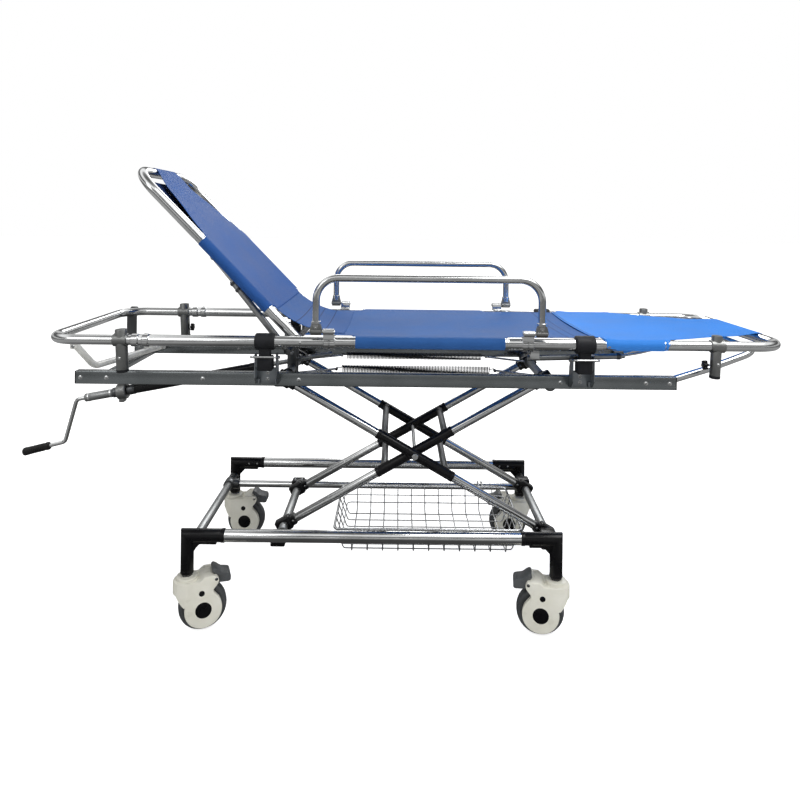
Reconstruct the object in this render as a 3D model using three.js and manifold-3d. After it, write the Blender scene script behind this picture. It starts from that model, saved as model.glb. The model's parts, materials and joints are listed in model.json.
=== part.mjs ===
// Stretcher trolley: scissor-lift chassis on four castors, trolley deck and a lift-off litter.
// Millimetres. +X points to the foot end, +Y to the far side, +Z up; the floor is Z = 0.
import * as THREE from 'three';
import { mergeVertices } from 'three/addons/utils/BufferGeometryUtils.js';
import Module from 'manifold-3d';

const wasm = await Module();
wasm.setup();
const { Manifold, Mesh: SolidMesh } = wasm;

const GAP = 0.3;
const WELD = 1e-4;
const SIDES = { wheel: 20, large: 12, medium: 12, small: 8 };
const BEND_STEPS = 4;
const DEG = Math.PI / 180;

// Chassis
const HEAD_X = -507;
const FOOT_X = 474;
const HALF_TRACK = 265;
const SIDE_TUBE = { z: 251, r: 16 };
const CORNER = { sleeveR: 17.3, postR: 16.5, bottomZ: 149.5, headEndX: -407, footEndX: 380, gusset: 26 };
const LOWER_RAIL = { y: 187, z: 208, r: 11, startX: -474.7, endX: 447.7 };
const HEAD_BAR = { z: 208, r: 12.5 };
const PIVOT_R = 12.5;
const PIVOT_BORE = 12.95;

// Scissor lift
const LIFT = { leftX: -272, rightX: 470, lowZ: 218, highZ: 642 };
const ARM = { r: 12, outerY: 152, innerY: 123.5, block: [46, 28, 38], sleeveR: 13.5, sleeveHalf: 124.5, tieAt: 100, tieR: 10 };
const AXLE = { r: 5, bore: 5.6, headR: 9, endY: 173 };
const SLIDER = { headX: -26, footX: 14, innerY: 168, outerY: 206, lowZ: 192, highZ: 225, bore: 11.5 };
const CARRIAGE = { blockInner: 171, blockOuter: 193, blockHalfX: 22, blockHalfZ: 14, nutLowZ: 612, nutHighZ: 708 };
const SPRING = { y: 96, z: 659, startX: -118, endX: 318, r: 12, rootR: 9.5, ribs: 5, hookReach: 12 };

// Deck
const RAIL = { headX: -834, footX: 810, innerY: 195, outerY: 220, lowZ: 638, highZ: 673.5 };
const SCREW = { x: -791, z: 562, slope: 10.85, coverR: 14, rodR: 8, coverEnd: 413, rodEnd: 652 };
const CLAMP_X = [-306, 544];
const CLAMP = { halfX: 30, plate: 3, lowZ: 645, plateTopZ: 690, flangeTopZ: 734, flangeY: 258 };
const BAIL = { pivotY: 245, pivotZ: 722, frontY: 289, frontZ: 731, halfX: 34, r: 3 };

// Litter
const LITTER = { y: 265, z: 768, mainR: 15, loopR: 13.5, sleeveR: 17, joinX: -640, sleeveX: 342, mainEndX: 585 };
const HEAD_LOOP_X = -890;
const FOOT_LOOP_X = 1081.5;
const LOOP_BEND = 75;
const FEET = { headX: -690, footX: 896, topZ: 797, bottomZ: 682, headR: 16, footR: 14, lean: 6 };
const SADDLE = { ringHalf: 24, ringWall: 7.2, bore: 0.3, stemHalfX: 15, blockHalfX: 21.5, blockLowZ: 690, blockTopZ: 728 };
const HINGE = { x: -227, z: 768 };
const BACK = { angle: 45.5, length: 639, halfY: 225, r: 14, bend: 85, strutY: 198, strutN: -48 };
const GUARD = { headX: -168, footX: 424, y: 293, pivotZ: 800, legZ: 815, topZ: 941, r: 10, bend: 58 };
const CLOTH = { thick: 4, halfY: 236, z: 776 };

// Castor, in its own frame: swivel axis at the origin, wheel trailing along +X
const CASTOR = {
  hubX: 40.5,
  hubZ: 62.5,
  tyreR: 62.5,
  tyreHalf: 17,
  shellR: 48,
  halfY: 36,
  cavityR: 65,
  cavityHalf: 19.5,
  pinX: 73,
  pinZ: 139,
};
const CASTORS = [
  ['head_near', HEAD_X, -HALF_TRACK, 20],
  ['head_far', HEAD_X, HALF_TRACK, 0],
  ['foot_near', FOOT_X, -HALF_TRACK, 171],
  ['foot_far', FOOT_X, HALF_TRACK, 180],
];

const FINISH = {
  chrome: { color: 0xc9ccce, roughness: 0.2, metalness: 1 },
  steel: { color: 0x8d9194, roughness: 0.4, metalness: 0.9 },
  graphite: { color: 0x3d4245, roughness: 0.45, metalness: 0.5 },
  black: { color: 0x131416, roughness: 0.4, metalness: 0.1 },
  rubber: { color: 0x17181a, roughness: 0.8, metalness: 0 },
  tyre: { color: 0x4a4e52, roughness: 0.7, metalness: 0 },
  cream: { color: 0xdedbd0, roughness: 0.45, metalness: 0 },
  fabric: { color: 0x2457c8, roughness: 0.6, metalness: 0 },
};

const trolley = new THREE.Group();
trolley.name = 'stretcher_trolley';

const v = (x, y, z) => new THREE.Vector3(x, y, z);

function toSolid(geometry) {
  const bare = new THREE.BufferGeometry();
  bare.setAttribute('position', geometry.getAttribute('position').clone());
  if (geometry.index) {
    bare.setIndex(geometry.index.clone());
  }
  const welded = mergeVertices(bare, WELD);
  const index = welded.index.array;
  const triangles = [];
  for (let i = 0; i < index.length; i += 3) {
    const [a, b, c] = [index[i], index[i + 1], index[i + 2]];
    if (a !== b && b !== c && a !== c) {
      triangles.push(a, b, c);
    }
  }
  const vertProperties = new Float32Array(welded.getAttribute('position').array);
  const solid = new Manifold(new SolidMesh({ numProp: 3, vertProperties, triVerts: new Uint32Array(triangles) }));
  if (solid.volume() > 0) {
    return solid;
  }
  triangles.reverse();
  return new Manifold(new SolidMesh({ numProp: 3, vertProperties, triVerts: new Uint32Array(triangles) }));
}

function addPart(name, solid, finish) {
  const shape = solid.getMesh();
  const geometry = new THREE.BufferGeometry();
  geometry.setAttribute('position', new THREE.BufferAttribute(new Float32Array(shape.vertProperties), 3));
  geometry.setIndex(new THREE.BufferAttribute(new Uint32Array(shape.triVerts), 1));
  geometry.computeVertexNormals();
  const mesh = new THREE.Mesh(geometry, new THREE.MeshStandardMaterial(FINISH[finish]));
  mesh.name = name;
  trolley.add(mesh);
}

function join(...solids) {
  return solids.reduce((whole, piece) => whole.add(piece));
}

function mirrorY(solid) {
  return solid.mirror([0, 1, 0]);
}

function addPair(stem, nearSolid, finish) {
  addPart(`${stem}_near`, nearSolid, finish);
  addPart(`${stem}_far`, mirrorY(nearSolid), finish);
}

function box(x0, x1, y0, y1, z0, z1) {
  const geometry = new THREE.BoxGeometry(x1 - x0, y1 - y0, z1 - z0);
  geometry.translate((x0 + x1) / 2, (y0 + y1) / 2, (z0 + z1) / 2);
  return toSolid(geometry);
}

function rod(from, to, radius, sides = SIDES.medium, endRadius = radius) {
  const axis = to.clone().sub(from);
  const geometry = new THREE.CylinderGeometry(endRadius, radius, axis.length(), sides, 1);
  geometry.applyQuaternion(new THREE.Quaternion().setFromUnitVectors(v(0, 1, 0), axis.clone().normalize()));
  const middle = from.clone().add(to).multiplyScalar(0.5);
  geometry.translate(middle.x, middle.y, middle.z);
  return toSolid(geometry);
}

function extrudeY(outline, y0, y1) {
  const shape = new THREE.Shape(outline.map(([x, z]) => new THREE.Vector2(x, z)));
  const geometry = new THREE.ExtrudeGeometry(shape, { depth: y1 - y0, bevelEnabled: false });
  geometry.rotateX(Math.PI / 2);
  geometry.translate(0, y1, 0);
  return toSolid(geometry);
}

// Centreline stations of a path with rounded corners: [point, unit tangent]
function roundedPath(points, bend, steps) {
  const stations = [];
  for (let i = 0; i < points.length; i += 1) {
    if (i === 0 || i === points.length - 1) {
      const [a, b] = i === 0 ? [points[0], points[1]] : [points[i - 1], points[i]];
      stations.push([points[i].clone(), b.clone().sub(a).normalize()]);
      continue;
    }
    const into = points[i].clone().sub(points[i - 1]).normalize();
    const out = points[i + 1].clone().sub(points[i]).normalize();
    const turn = into.angleTo(out);
    const reach = bend * Math.tan(turn / 2);
    const start = points[i].clone().addScaledVector(into, -reach);
    const side = out.clone().addScaledVector(into, -out.dot(into)).normalize();
    const centre = start.clone().addScaledVector(side, bend);
    for (let k = 0; k <= steps; k += 1) {
      const angle = (turn * k) / steps;
      const point = centre.clone().addScaledVector(side, -bend * Math.cos(angle));
      point.addScaledVector(into, bend * Math.sin(angle));
      const tangent = into.clone().multiplyScalar(Math.cos(angle)).addScaledVector(side, Math.sin(angle));
      stations.push([point, tangent.normalize()]);
    }
  }
  return stations;
}

function bentTube(points, bend, radius, sides = SIDES.medium, steps = BEND_STEPS) {
  const stations = roundedPath(points, bend, steps);
  const positions = [];
  const index = [];
  let across = Math.abs(stations[0][1].z) < 0.9 ? v(0, 0, 1) : v(0, 1, 0);
  stations.forEach(([point, tangent]) => {
    across = across.clone().addScaledVector(tangent, -across.dot(tangent)).normalize();
    const up = tangent.clone().cross(across);
    for (let s = 0; s < sides; s += 1) {
      const angle = (2 * Math.PI * s) / sides;
      const spot = point.clone().addScaledVector(across, radius * Math.cos(angle));
      spot.addScaledVector(up, radius * Math.sin(angle));
      positions.push(spot.x, spot.y, spot.z);
    }
  });
  for (let ring = 0; ring < stations.length - 1; ring += 1) {
    for (let s = 0; s < sides; s += 1) {
      const a = ring * sides + s;
      const b = ring * sides + ((s + 1) % sides);
      index.push(a, b, a + sides, b, b + sides, a + sides);
    }
  }
  const last = (stations.length - 1) * sides;
  for (let s = 1; s < sides - 1; s += 1) {
    index.push(0, s + 1, s, last, last + s, last + s + 1);
  }
  const geometry = new THREE.BufferGeometry();
  geometry.setAttribute('position', new THREE.Float32BufferAttribute(positions, 3));
  geometry.setIndex(index);
  return toSolid(geometry);
}

// Solid of revolution about the Y axis from [radius, y] pairs
function turnY(profile, sides) {
  const points = profile.map(([r, y]) => new THREE.Vector2(r, y));
  return toSolid(new THREE.LatheGeometry(points, sides));
}

function moved(solid, x, y, z) {
  return solid.translate([x, y, z]);
}

// ---------------------------------------------------------------- chassis

function corner(postX, endX) {
  const inward = Math.sign(endX - postX);
  const outerX = postX - inward * CORNER.postR;
  const y = -HALF_TRACK;
  const post = rod(v(postX, y, CORNER.bottomZ), v(postX, y, SIDE_TUBE.z + 14), CORNER.postR, SIDES.large);
  const sleeve = rod(v(outerX, y, SIDE_TUBE.z), v(endX, y, SIDE_TUBE.z), CORNER.sleeveR, SIDES.large);
  const footX = postX + inward * (CORNER.postR - 2);
  const web = extrudeY([
    [footX, SIDE_TUBE.z - 16],
    [footX + inward * CORNER.gusset, SIDE_TUBE.z - 16],
    [footX, SIDE_TUBE.z - 16 - CORNER.gusset],
  ], y - 5, y + 5);
  return join(post, sleeve, web);
}

addPair('side_tube', rod(
  v(CORNER.headEndX + GAP, -HALF_TRACK, SIDE_TUBE.z),
  v(CORNER.footEndX - GAP, -HALF_TRACK, SIDE_TUBE.z),
  SIDE_TUBE.r,
  SIDES.large,
), 'chrome');
addPair('corner_head', corner(HEAD_X, CORNER.headEndX), 'black');
addPair('corner_foot', corner(FOOT_X, CORNER.footEndX), 'black');

const barEndY = HALF_TRACK - CORNER.postR - GAP - 0.2;

function headBar() {
  const bar = rod(v(HEAD_X, -barEndY, HEAD_BAR.z), v(HEAD_X, barEndY, HEAD_BAR.z), HEAD_BAR.r, SIDES.medium);
  const sockets = [-1, 1].map((side) => {
    const y = side * LOWER_RAIL.y;
    const ring = rod(v(HEAD_X, y - 19, HEAD_BAR.z), v(HEAD_X, y + 19, HEAD_BAR.z), 18, SIDES.medium);
    const nose = rod(v(HEAD_X, y, HEAD_BAR.z), v(LOWER_RAIL.startX - GAP, y, HEAD_BAR.z), 16, SIDES.medium);
    return ring.add(nose);
  });
  return join(bar, ...sockets);
}

function footBar() {
  const bar = rod(v(LIFT.rightX, -barEndY, LIFT.lowZ), v(LIFT.rightX, barEndY, LIFT.lowZ), PIVOT_R, SIDES.large);
  const sockets = [-1, 1].map((side) => {
    const y = side * LOWER_RAIL.y;
    return box(LOWER_RAIL.endX + GAP, LIFT.rightX + 20, y - 19, y + 19, LOWER_RAIL.z - 17, LIFT.lowZ + 20);
  });
  return join(bar, ...sockets);
}

addPart('head_crossbar', headBar(), 'graphite');
addPart('foot_crossbar', footBar(), 'black');
addPair('lower_rail', rod(
  v(LOWER_RAIL.startX, -LOWER_RAIL.y, LOWER_RAIL.z),
  v(LOWER_RAIL.endX, -LOWER_RAIL.y, LOWER_RAIL.z),
  LOWER_RAIL.r,
  SIDES.large,
), 'chrome');

// ---------------------------------------------------------------- wire basket

const BASKET = {
  floorX: [-102, 382],
  rimX: [-128, 406],
  floorY: 134,
  rimY: 150,
  floorZ: 149,
  rimZ: 218,
  wire: 2.2,
  rim: 3.4,
  crossFrom: -78,
  crossPitch: 44,
  crossCount: 11,
  longCount: 5,
  longY: 112,
  hookX: [-54, 326],
};

// U-shaped strip outline: rim, floor, floor, rim
function basketStrip(rim, floor, floorZ) {
  const t = BASKET.wire;
  return [
    [rim[0] - t, BASKET.rimZ],
    [floor[0] - t, floorZ - t],
    [floor[1] + t, floorZ - t],
    [rim[1] + t, BASKET.rimZ],
    [rim[1] - t, BASKET.rimZ],
    [floor[1] - t, floorZ + t],
    [floor[0] + t, floorZ + t],
    [rim[0] + t, BASKET.rimZ],
  ];
}

function basket() {
  const b = BASKET;
  const frame = (grow, half) => box(
    b.rimX[0] - grow,
    b.rimX[1] + grow,
    -b.rimY - grow,
    b.rimY + grow,
    b.rimZ - half,
    b.rimZ + half,
  );
  const wires = [frame(b.rim, b.rim).subtract(frame(-b.rim, 2 * b.rim))];
  const crossOutline = basketStrip([-b.rimY, b.rimY], [-b.floorY, b.floorY], b.floorZ);
  for (let i = 0; i < b.crossCount; i += 1) {
    const x = b.crossFrom + i * b.crossPitch;
    const strip = extrudeY(crossOutline, -b.wire, b.wire).rotate([0, 0, 90]);
    wires.push(strip.translate([x, 0, 0]));
  }
  const longOutline = basketStrip(b.rimX, b.floorX, b.floorZ - 1.5 * b.wire);
  for (let i = 0; i < b.longCount; i += 1) {
    const y = -b.longY + (2 * b.longY * i) / (b.longCount - 1);
    wires.push(extrudeY(longOutline, y - b.wire, y + b.wire));
  }
  for (const x of b.hookX) {
    for (const side of [-1, 1]) {
      const span = (y0, y1, z0, z1) => box(
        x - 8,
        x + 8,
        Math.min(side * y0, side * y1),
        Math.max(side * y0, side * y1),
        z0,
        z1,
      );
      wires.push(span(b.rimY - 2, b.rimY + 2, b.rimZ, 223.5));
      wires.push(span(b.rimY - 2, 203, 219.5, 223.5));
      wires.push(span(199, 203, 204, 223.5));
    }
  }
  return join(...wires);
}

addPart('wire_basket', basket(), 'steel');

// ---------------------------------------------------------------- castors

function shellOutline() {
  const c = CASTOR;
  const outline = [
    [-30, 104],
    [-20, 88],
    [-13, 78],
  ];
  const arcFrom = 172;
  const arcTo = 415;
  const arcSteps = 8;
  for (let i = 0; i <= arcSteps; i += 1) {
    const angle = (arcFrom + ((arcTo - arcFrom) * i) / arcSteps) * DEG;
    outline.push([c.hubX + c.shellR * Math.cos(angle), c.hubZ + c.shellR * Math.sin(angle)]);
  }
  outline.push([63.5, 109.5], [67, 115], [76, 123.5], [79, 130], [79, 137], [75, 146]);
  outline.push([62, 148], [40, 147], [31, 137], [-33, 137]);
  return outline;
}

function castorHood() {
  const c = CASTOR;
  const roundBack = rod(v(0, 0, 0), v(0, 0, 160), c.halfY, SIDES.wheel);
  const plan = roundBack.add(box(0, 100, -c.halfY, c.halfY, 0, 160));
  const body = extrudeY(shellOutline(), -c.halfY, c.halfY).intersect(plan);
  const cavity = rod(v(c.hubX, -c.cavityHalf, c.hubZ), v(c.hubX, c.cavityHalf, c.hubZ), c.cavityR, SIDES.wheel);
  const pedalBay = box(66, 90, -24, 24, 112, 160);
  const axle = rod(v(c.hubX, -c.halfY - 1, c.hubZ), v(c.hubX, c.halfY + 1, c.hubZ), 5, SIDES.small);
  const pedalPin = rod(v(c.pinX, -c.halfY, c.pinZ), v(c.pinX, c.halfY, c.pinZ), 3, SIDES.small);
  const collar = join(
    rod(v(0, 0, 120), v(0, 0, 139), 31, SIDES.large),
    rod(v(0, 0, 139), v(0, 0, 145), 28, SIDES.large),
    rod(v(0, 0, 145), v(0, 0, CORNER.bottomZ - GAP), 12, SIDES.small),
  );
  const shell = body.add(collar).subtract(cavity).subtract(pedalBay);
  return join(shell, axle, pedalPin);
}

function castorWheel() {
  const c = CASTOR;
  // A flat facet of the tyre meets the floor
  const flatR = c.tyreR / Math.cos(Math.PI / SIDES.wheel);
  const profile = [
    [5.4, -14],
    [44, -13],
    [56, -c.tyreHalf],
    [flatR, -8],
    [flatR, 8],
    [56, c.tyreHalf],
    [44, 13],
    [5.4, 14],
    [5.4, -14],
  ];
  const wheel = turnY(profile, SIDES.wheel).rotate([0, 180 / SIDES.wheel, 0]);
  return moved(wheel, c.hubX, 0, c.hubZ);
}

function castorPedal() {
  const c = CASTOR;
  const outline = [
    [67.5, 149.5],
    [71, 130],
    [76, 122],
    [106, 120.5],
    [112, 125],
    [112, 134],
    [108, 143.5],
    [87, 147.5],
    [78, 155],
    [68, 160],
    [63.5, 157.5],
    [62.5, 150.5],
  ];
  const bore = rod(v(c.pinX, -30, c.pinZ), v(c.pinX, 30, c.pinZ), 3.4, SIDES.small);
  return extrudeY(outline, -22, 22).subtract(bore);
}

for (const [place, x, y, angle] of CASTORS) {
  const put = (solid) => moved(solid.rotate([0, 0, angle]), x, y, 0);
  addPart(`castor_hood_${place}`, put(castorHood()), 'cream');
  addPart(`castor_wheel_${place}`, put(castorWheel()), 'tyre');
  addPart(`castor_pedal_${place}`, put(castorPedal()), 'graphite');
}

// ---------------------------------------------------------------- scissor lift

const crossX = (LIFT.leftX + LIFT.rightX) / 2;
const crossZ = (LIFT.lowZ + LIFT.highZ) / 2;

function turnedBox(size, centre, angle) {
  const geometry = new THREE.BoxGeometry(...size);
  geometry.rotateY(-angle);
  geometry.translate(centre.x, centre.y, centre.z);
  return toSolid(geometry);
}

// One bar of the scissor; side -1 carries the two tie tubes of its pair
function arm(lowX, highX, y, tieEndY) {
  const low = v(lowX, y, LIFT.lowZ);
  const high = v(highX, y, LIFT.highZ);
  const along = high.clone().sub(low).normalize();
  const angle = Math.atan2(along.z, along.x);
  const middle = low.clone().add(high).multiplyScalar(0.5);
  const at = (distance) => middle.clone().addScaledVector(along, distance);
  const pieces = [
    rod(low, high, ARM.r, SIDES.large),
    rod(at(-ARM.sleeveHalf), at(ARM.sleeveHalf), ARM.sleeveR, SIDES.large),
    turnedBox(ARM.block, low, angle),
    turnedBox(ARM.block, high, angle),
  ];
  if (tieEndY) {
    for (const side of [-1, 1]) {
      const root = at(side * ARM.tieAt);
      pieces.push(rod(root, v(root.x, tieEndY, root.z), ARM.tieR, SIDES.medium));
    }
  }
  const bore = (point) => rod(v(point.x, -200, point.z), v(point.x, 200, point.z), PIVOT_BORE, SIDES.large);
  const middleBore = rod(v(crossX, -200, crossZ), v(crossX, 200, crossZ), AXLE.bore, SIDES.small);
  return join(...pieces).subtract(bore(low)).subtract(bore(high)).subtract(middleBore);
}

function axleOn(armSolid) {
  const shaft = rod(v(crossX, -AXLE.endY, crossZ), v(crossX, AXLE.endY, crossZ), AXLE.r, SIDES.small);
  const nearHead = rod(v(crossX, -AXLE.endY, crossZ), v(crossX, 5 - ARM.outerY - ARM.sleeveR, crossZ), AXLE.headR, SIDES.small);
  const farHead = rod(v(crossX, ARM.outerY + ARM.sleeveR + GAP, crossZ), v(crossX, AXLE.endY, crossZ), AXLE.headR, SIDES.small);
  return join(armSolid, shaft, nearHead, farHead);
}

const outerTieEnd = ARM.outerY - ARM.sleeveR - GAP;
const innerTieEnd = ARM.innerY - ARM.sleeveR - GAP;
addPart('outer_arm_near', axleOn(arm(LIFT.rightX, LIFT.leftX, -ARM.outerY, outerTieEnd)), 'chrome');
addPart('outer_arm_far', arm(LIFT.rightX, LIFT.leftX, ARM.outerY), 'chrome');
addPart('inner_arm_near', arm(LIFT.leftX, LIFT.rightX, -ARM.innerY, innerTieEnd), 'chrome');
addPart('inner_arm_far', arm(LIFT.leftX, LIFT.rightX, ARM.innerY), 'chrome');

function lowerSlider() {
  const s = SLIDER;
  const tube = rod(v(LIFT.leftX, -s.innerY - 4, LIFT.lowZ), v(LIFT.leftX, s.innerY + 4, LIFT.lowZ), PIVOT_R, SIDES.large);
  const blocks = [-1, 1].map((side) => {
    const y = [side * s.innerY, side * s.outerY].sort((a, b) => a - b);
    const block = box(LIFT.leftX + s.headX, LIFT.leftX + s.footX, y[0], y[1], s.lowZ, s.highZ);
    const railY = side * LOWER_RAIL.y;
    const bore = rod(v(LIFT.leftX - 40, railY, LOWER_RAIL.z), v(LIFT.leftX + 40, railY, LOWER_RAIL.z), s.bore, SIDES.large);
    return block.subtract(bore);
  });
  return join(tube, ...blocks);
}

addPart('lower_slider', lowerSlider(), 'graphite');

// Flat link from a collar on a pivot tube to a spring end
function springLink(tubeX, endX, y, pinFromY, pinToY) {
  const collar = rod(v(tubeX, y - 3, LIFT.highZ), v(tubeX, y + 3, LIFT.highZ), 17.5, SIDES.medium);
  const bar = extrudeY([
    [tubeX, LIFT.highZ - 8],
    [endX, SPRING.z - 6],
    [endX, SPRING.z + 6],
    [tubeX, LIFT.highZ + 8],
  ], y - 3, y + 3);
  const pin = rod(v(endX, pinFromY, SPRING.z), v(endX, pinToY, SPRING.z), 4.5, SIDES.small);
  return join(collar, bar, pin);
}

function upperCarriage() {
  const c = CARRIAGE;
  const tube = rod(v(LIFT.leftX, -c.blockOuter, LIFT.highZ), v(LIFT.leftX, c.blockOuter, LIFT.highZ), PIVOT_R, SIDES.large);
  const housing = box(LIFT.leftX - 14, LIFT.leftX + 14, -23, 23, c.nutLowZ, c.nutHighZ);
  const slot = box(LIFT.leftX - 30, LIFT.leftX + 30, -14, 14, c.nutLowZ + 6, c.nutHighZ - 6);
  const blocks = [-1, 1].map((side) => {
    const y = [side * c.blockInner, side * c.blockOuter].sort((a, b) => a - b);
    return box(
      LIFT.leftX - c.blockHalfX,
      LIFT.leftX + c.blockHalfX,
      y[0],
      y[1],
      LIFT.highZ - c.blockHalfZ,
      LIFT.highZ + c.blockHalfZ,
    );
  });
  const reach = SPRING.startX - SPRING.hookReach;
  const nearLink = springLink(LIFT.leftX, reach, -SPRING.y, -SPRING.y - 8, 8 - SPRING.y);
  return join(tube.add(housing).subtract(slot), ...blocks, nearLink, mirrorY(nearLink));
}

addPart('upper_carriage', upperCarriage(), 'graphite');

function spring() {
  const s = SPRING;
  const pitch = (s.endX - s.startX) / s.ribs;
  const profile = [[0, 0]];
  for (let i = 0; i < s.ribs; i += 1) {
    profile.push([s.rootR, i * pitch], [s.r, (i + 0.35) * pitch], [s.r, (i + 0.65) * pitch]);
  }
  profile.push([s.rootR, s.ribs * pitch], [0, s.ribs * pitch]);
  const upright = turnY(profile, SIDES.small);
  return moved(upright.rotate([0, 0, -90]), s.startX, -s.y, s.z);
}

addPair('spring', spring(), 'steel');

// ---------------------------------------------------------------- trolley deck

addPair('deck_rail', box(RAIL.headX, RAIL.footX, -RAIL.outerY, -RAIL.innerY, RAIL.lowZ, RAIL.highZ), 'graphite');

const insideY = RAIL.innerY - GAP;

function footCross() {
  const tube = rod(v(LIFT.rightX, -insideY, LIFT.highZ), v(LIFT.rightX, insideY, LIFT.highZ), PIVOT_R, SIDES.large);
  const reach = SPRING.endX + SPRING.hookReach;
  const nearLink = springLink(LIFT.rightX, reach, -SPRING.y, -SPRING.y - 8, 8 - SPRING.y);
  return join(tube, nearLink, mirrorY(nearLink));
}

addPart('deck_foot_cross', footCross(), 'graphite');

const screwAxis = v(Math.cos(SCREW.slope * DEG), 0, Math.sin(SCREW.slope * DEG));
const screwUp = v(-Math.sin(SCREW.slope * DEG), 0, Math.cos(SCREW.slope * DEG));
const onScrew = (along, up = 0) => v(SCREW.x, 0, SCREW.z).addScaledVector(screwAxis, along).addScaledVector(screwUp, up);

function headCross() {
  const beam = box(-788, -763, -insideY, insideY, RAIL.lowZ, RAIL.lowZ + 16);
  const hanger = box(-803, -779, -15, 15, SCREW.z, RAIL.lowZ + 10);
  const barrel = rod(onScrew(-14), onScrew(14), 24, SIDES.large);
  const nub = box(-799, -783, -12, 12, 530, SCREW.z);
  return join(beam, hanger, barrel, nub);
}

addPart('deck_head_cross', headCross(), 'graphite');

function screwUnit() {
  const cover = rod(onScrew(16), onScrew(SCREW.coverEnd), SCREW.coverR, SIDES.large);
  const shaft = rod(onScrew(SCREW.coverEnd - 5), onScrew(SCREW.rodEnd), SCREW.rodR, SIDES.medium);
  return join(cover, shaft);
}

addPart('lead_screw', screwUnit(), 'black');

function headBrace() {
  const pad = box(-797, -728, 183, insideY, 655, 673);
  const bar = bentTube([v(-733, 183, 664), v(-811, -150, 672), v(-845, -190, 737)], 30, 10);
  const tip = box(-856, -838, -204, -184, 728, 745);
  return join(pad, bar, tip);
}

addPart('deck_head_brace', headBrace(), 'cream');

function footHoop() {
  const y = 184;
  const tube = bentTube([
    v(800, -y, 655),
    v(905, -y, 688),
    v(1045, -y, 741),
    v(1045, y, 741),
    v(905, y, 688),
    v(800, y, 655),
  ], 40, 10);
  const pads = [-1, 1].map((side) => {
    const ends = [side * (y - 4), side * insideY].sort((a, b) => a - b);
    return box(768, 806, ends[0], ends[1], 645, 667);
  });
  return join(tube, ...pads);
}

addPart('deck_foot_hoop', footHoop(), 'chrome');

function clampBracket(x) {
  const c = CLAMP;
  const back = -RAIL.outerY - GAP;
  const plate = box(x - c.halfX, x + c.halfX, back - c.plate, back, c.lowZ, c.plateTopZ);
  const flanges = [-1, 1].map((side) => {
    const ends = [x + side * c.halfX, x + side * (c.halfX - c.plate)].sort((a, b) => a - b);
    return box(ends[0], ends[1], -c.flangeY, back, c.lowZ, c.flangeTopZ);
  });
  const screws = [664, 680].map((z) => rod(v(x, back - c.plate - 3, z), v(x, back - c.plate + 1, z), 4, SIDES.small));
  return join(plate, ...flanges, ...screws);
}

function bail(x) {
  const b = BAIL;
  const arch = bentTube([
    v(x - b.halfX, -b.pivotY, b.pivotZ),
    v(x - b.halfX, -b.frontY, b.frontZ),
    v(x + b.halfX, -b.frontY, b.frontZ),
    v(x + b.halfX, -b.pivotY, b.pivotZ),
  ], 8, b.r, 8, 2);
  const pins = [-1, 1].map((side) => rod(
    v(x + side * (CLAMP.halfX + GAP), -b.pivotY, b.pivotZ),
    v(x + side * (b.halfX + 2.5), -b.pivotY, b.pivotZ),
    4,
    10,
  ));
  return join(arch, ...pins);
}

// ---------------------------------------------------------------- crank

const WRIST = v(-966, 0, 405);
const CRANK_TIP = v(-1086, 0, 374);
const GRIP = { startX: -1012, endX: -1091.9, blindEndX: -1087, r: 12.5, bore: 6.6 };

function crank() {
  const fork = rod(onScrew(-14 - GAP), onScrew(-30), 15, SIDES.medium);
  const sleeve = rod(onScrew(-28), onScrew(-116), 12.5, SIDES.large);
  const arch = bentTube([onScrew(-112), onScrew(-143), WRIST, CRANK_TIP], 14, 6, SIDES.small);
  return join(fork, sleeve, arch);
}

function crankGrip() {
  const slope = (WRIST.z - CRANK_TIP.z) / (WRIST.x - CRANK_TIP.x);
  const onGrip = (x) => v(x, 0, WRIST.z + (x - WRIST.x) * slope);
  const shape = rod(onGrip(GRIP.startX), onGrip(GRIP.endX), GRIP.r, SIDES.large);
  const blind = rod(onGrip(GRIP.startX + 20), onGrip(GRIP.blindEndX), GRIP.bore, SIDES.small);
  return shape.subtract(blind);
}

addPart('crank', crank(), 'chrome');
addPart('crank_grip', crankGrip(), 'rubber');

// ---------------------------------------------------------------- litter

function foot(x, side, lean, radius) {
  const y = side * LITTER.y;
  return rod(v(x + lean, y, FEET.bottomZ), v(x, y, FEET.topZ), radius, SIDES.large);
}

function guardClamp(x, side, barrelX) {
  const y = side * LITTER.y;
  const band = rod(v(x - 15, y, LITTER.z), v(x + 15, y, LITTER.z), 19.5, SIDES.medium);
  const lugY = [side * (GUARD.y + 7), side * (LITTER.y + 6)].sort((a, b) => a - b);
  const lug = box(x - 15, x + 15, lugY[0], lugY[1], LITTER.z + 8, GUARD.pivotZ + 7);
  const pinY = side * GUARD.y;
  const pin = rod(v(Math.min(x, barrelX) - 17, pinY, GUARD.pivotZ), v(Math.max(x, barrelX) + 17, pinY, GUARD.pivotZ), 4, SIDES.small);
  return join(band, lug, pin);
}

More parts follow.
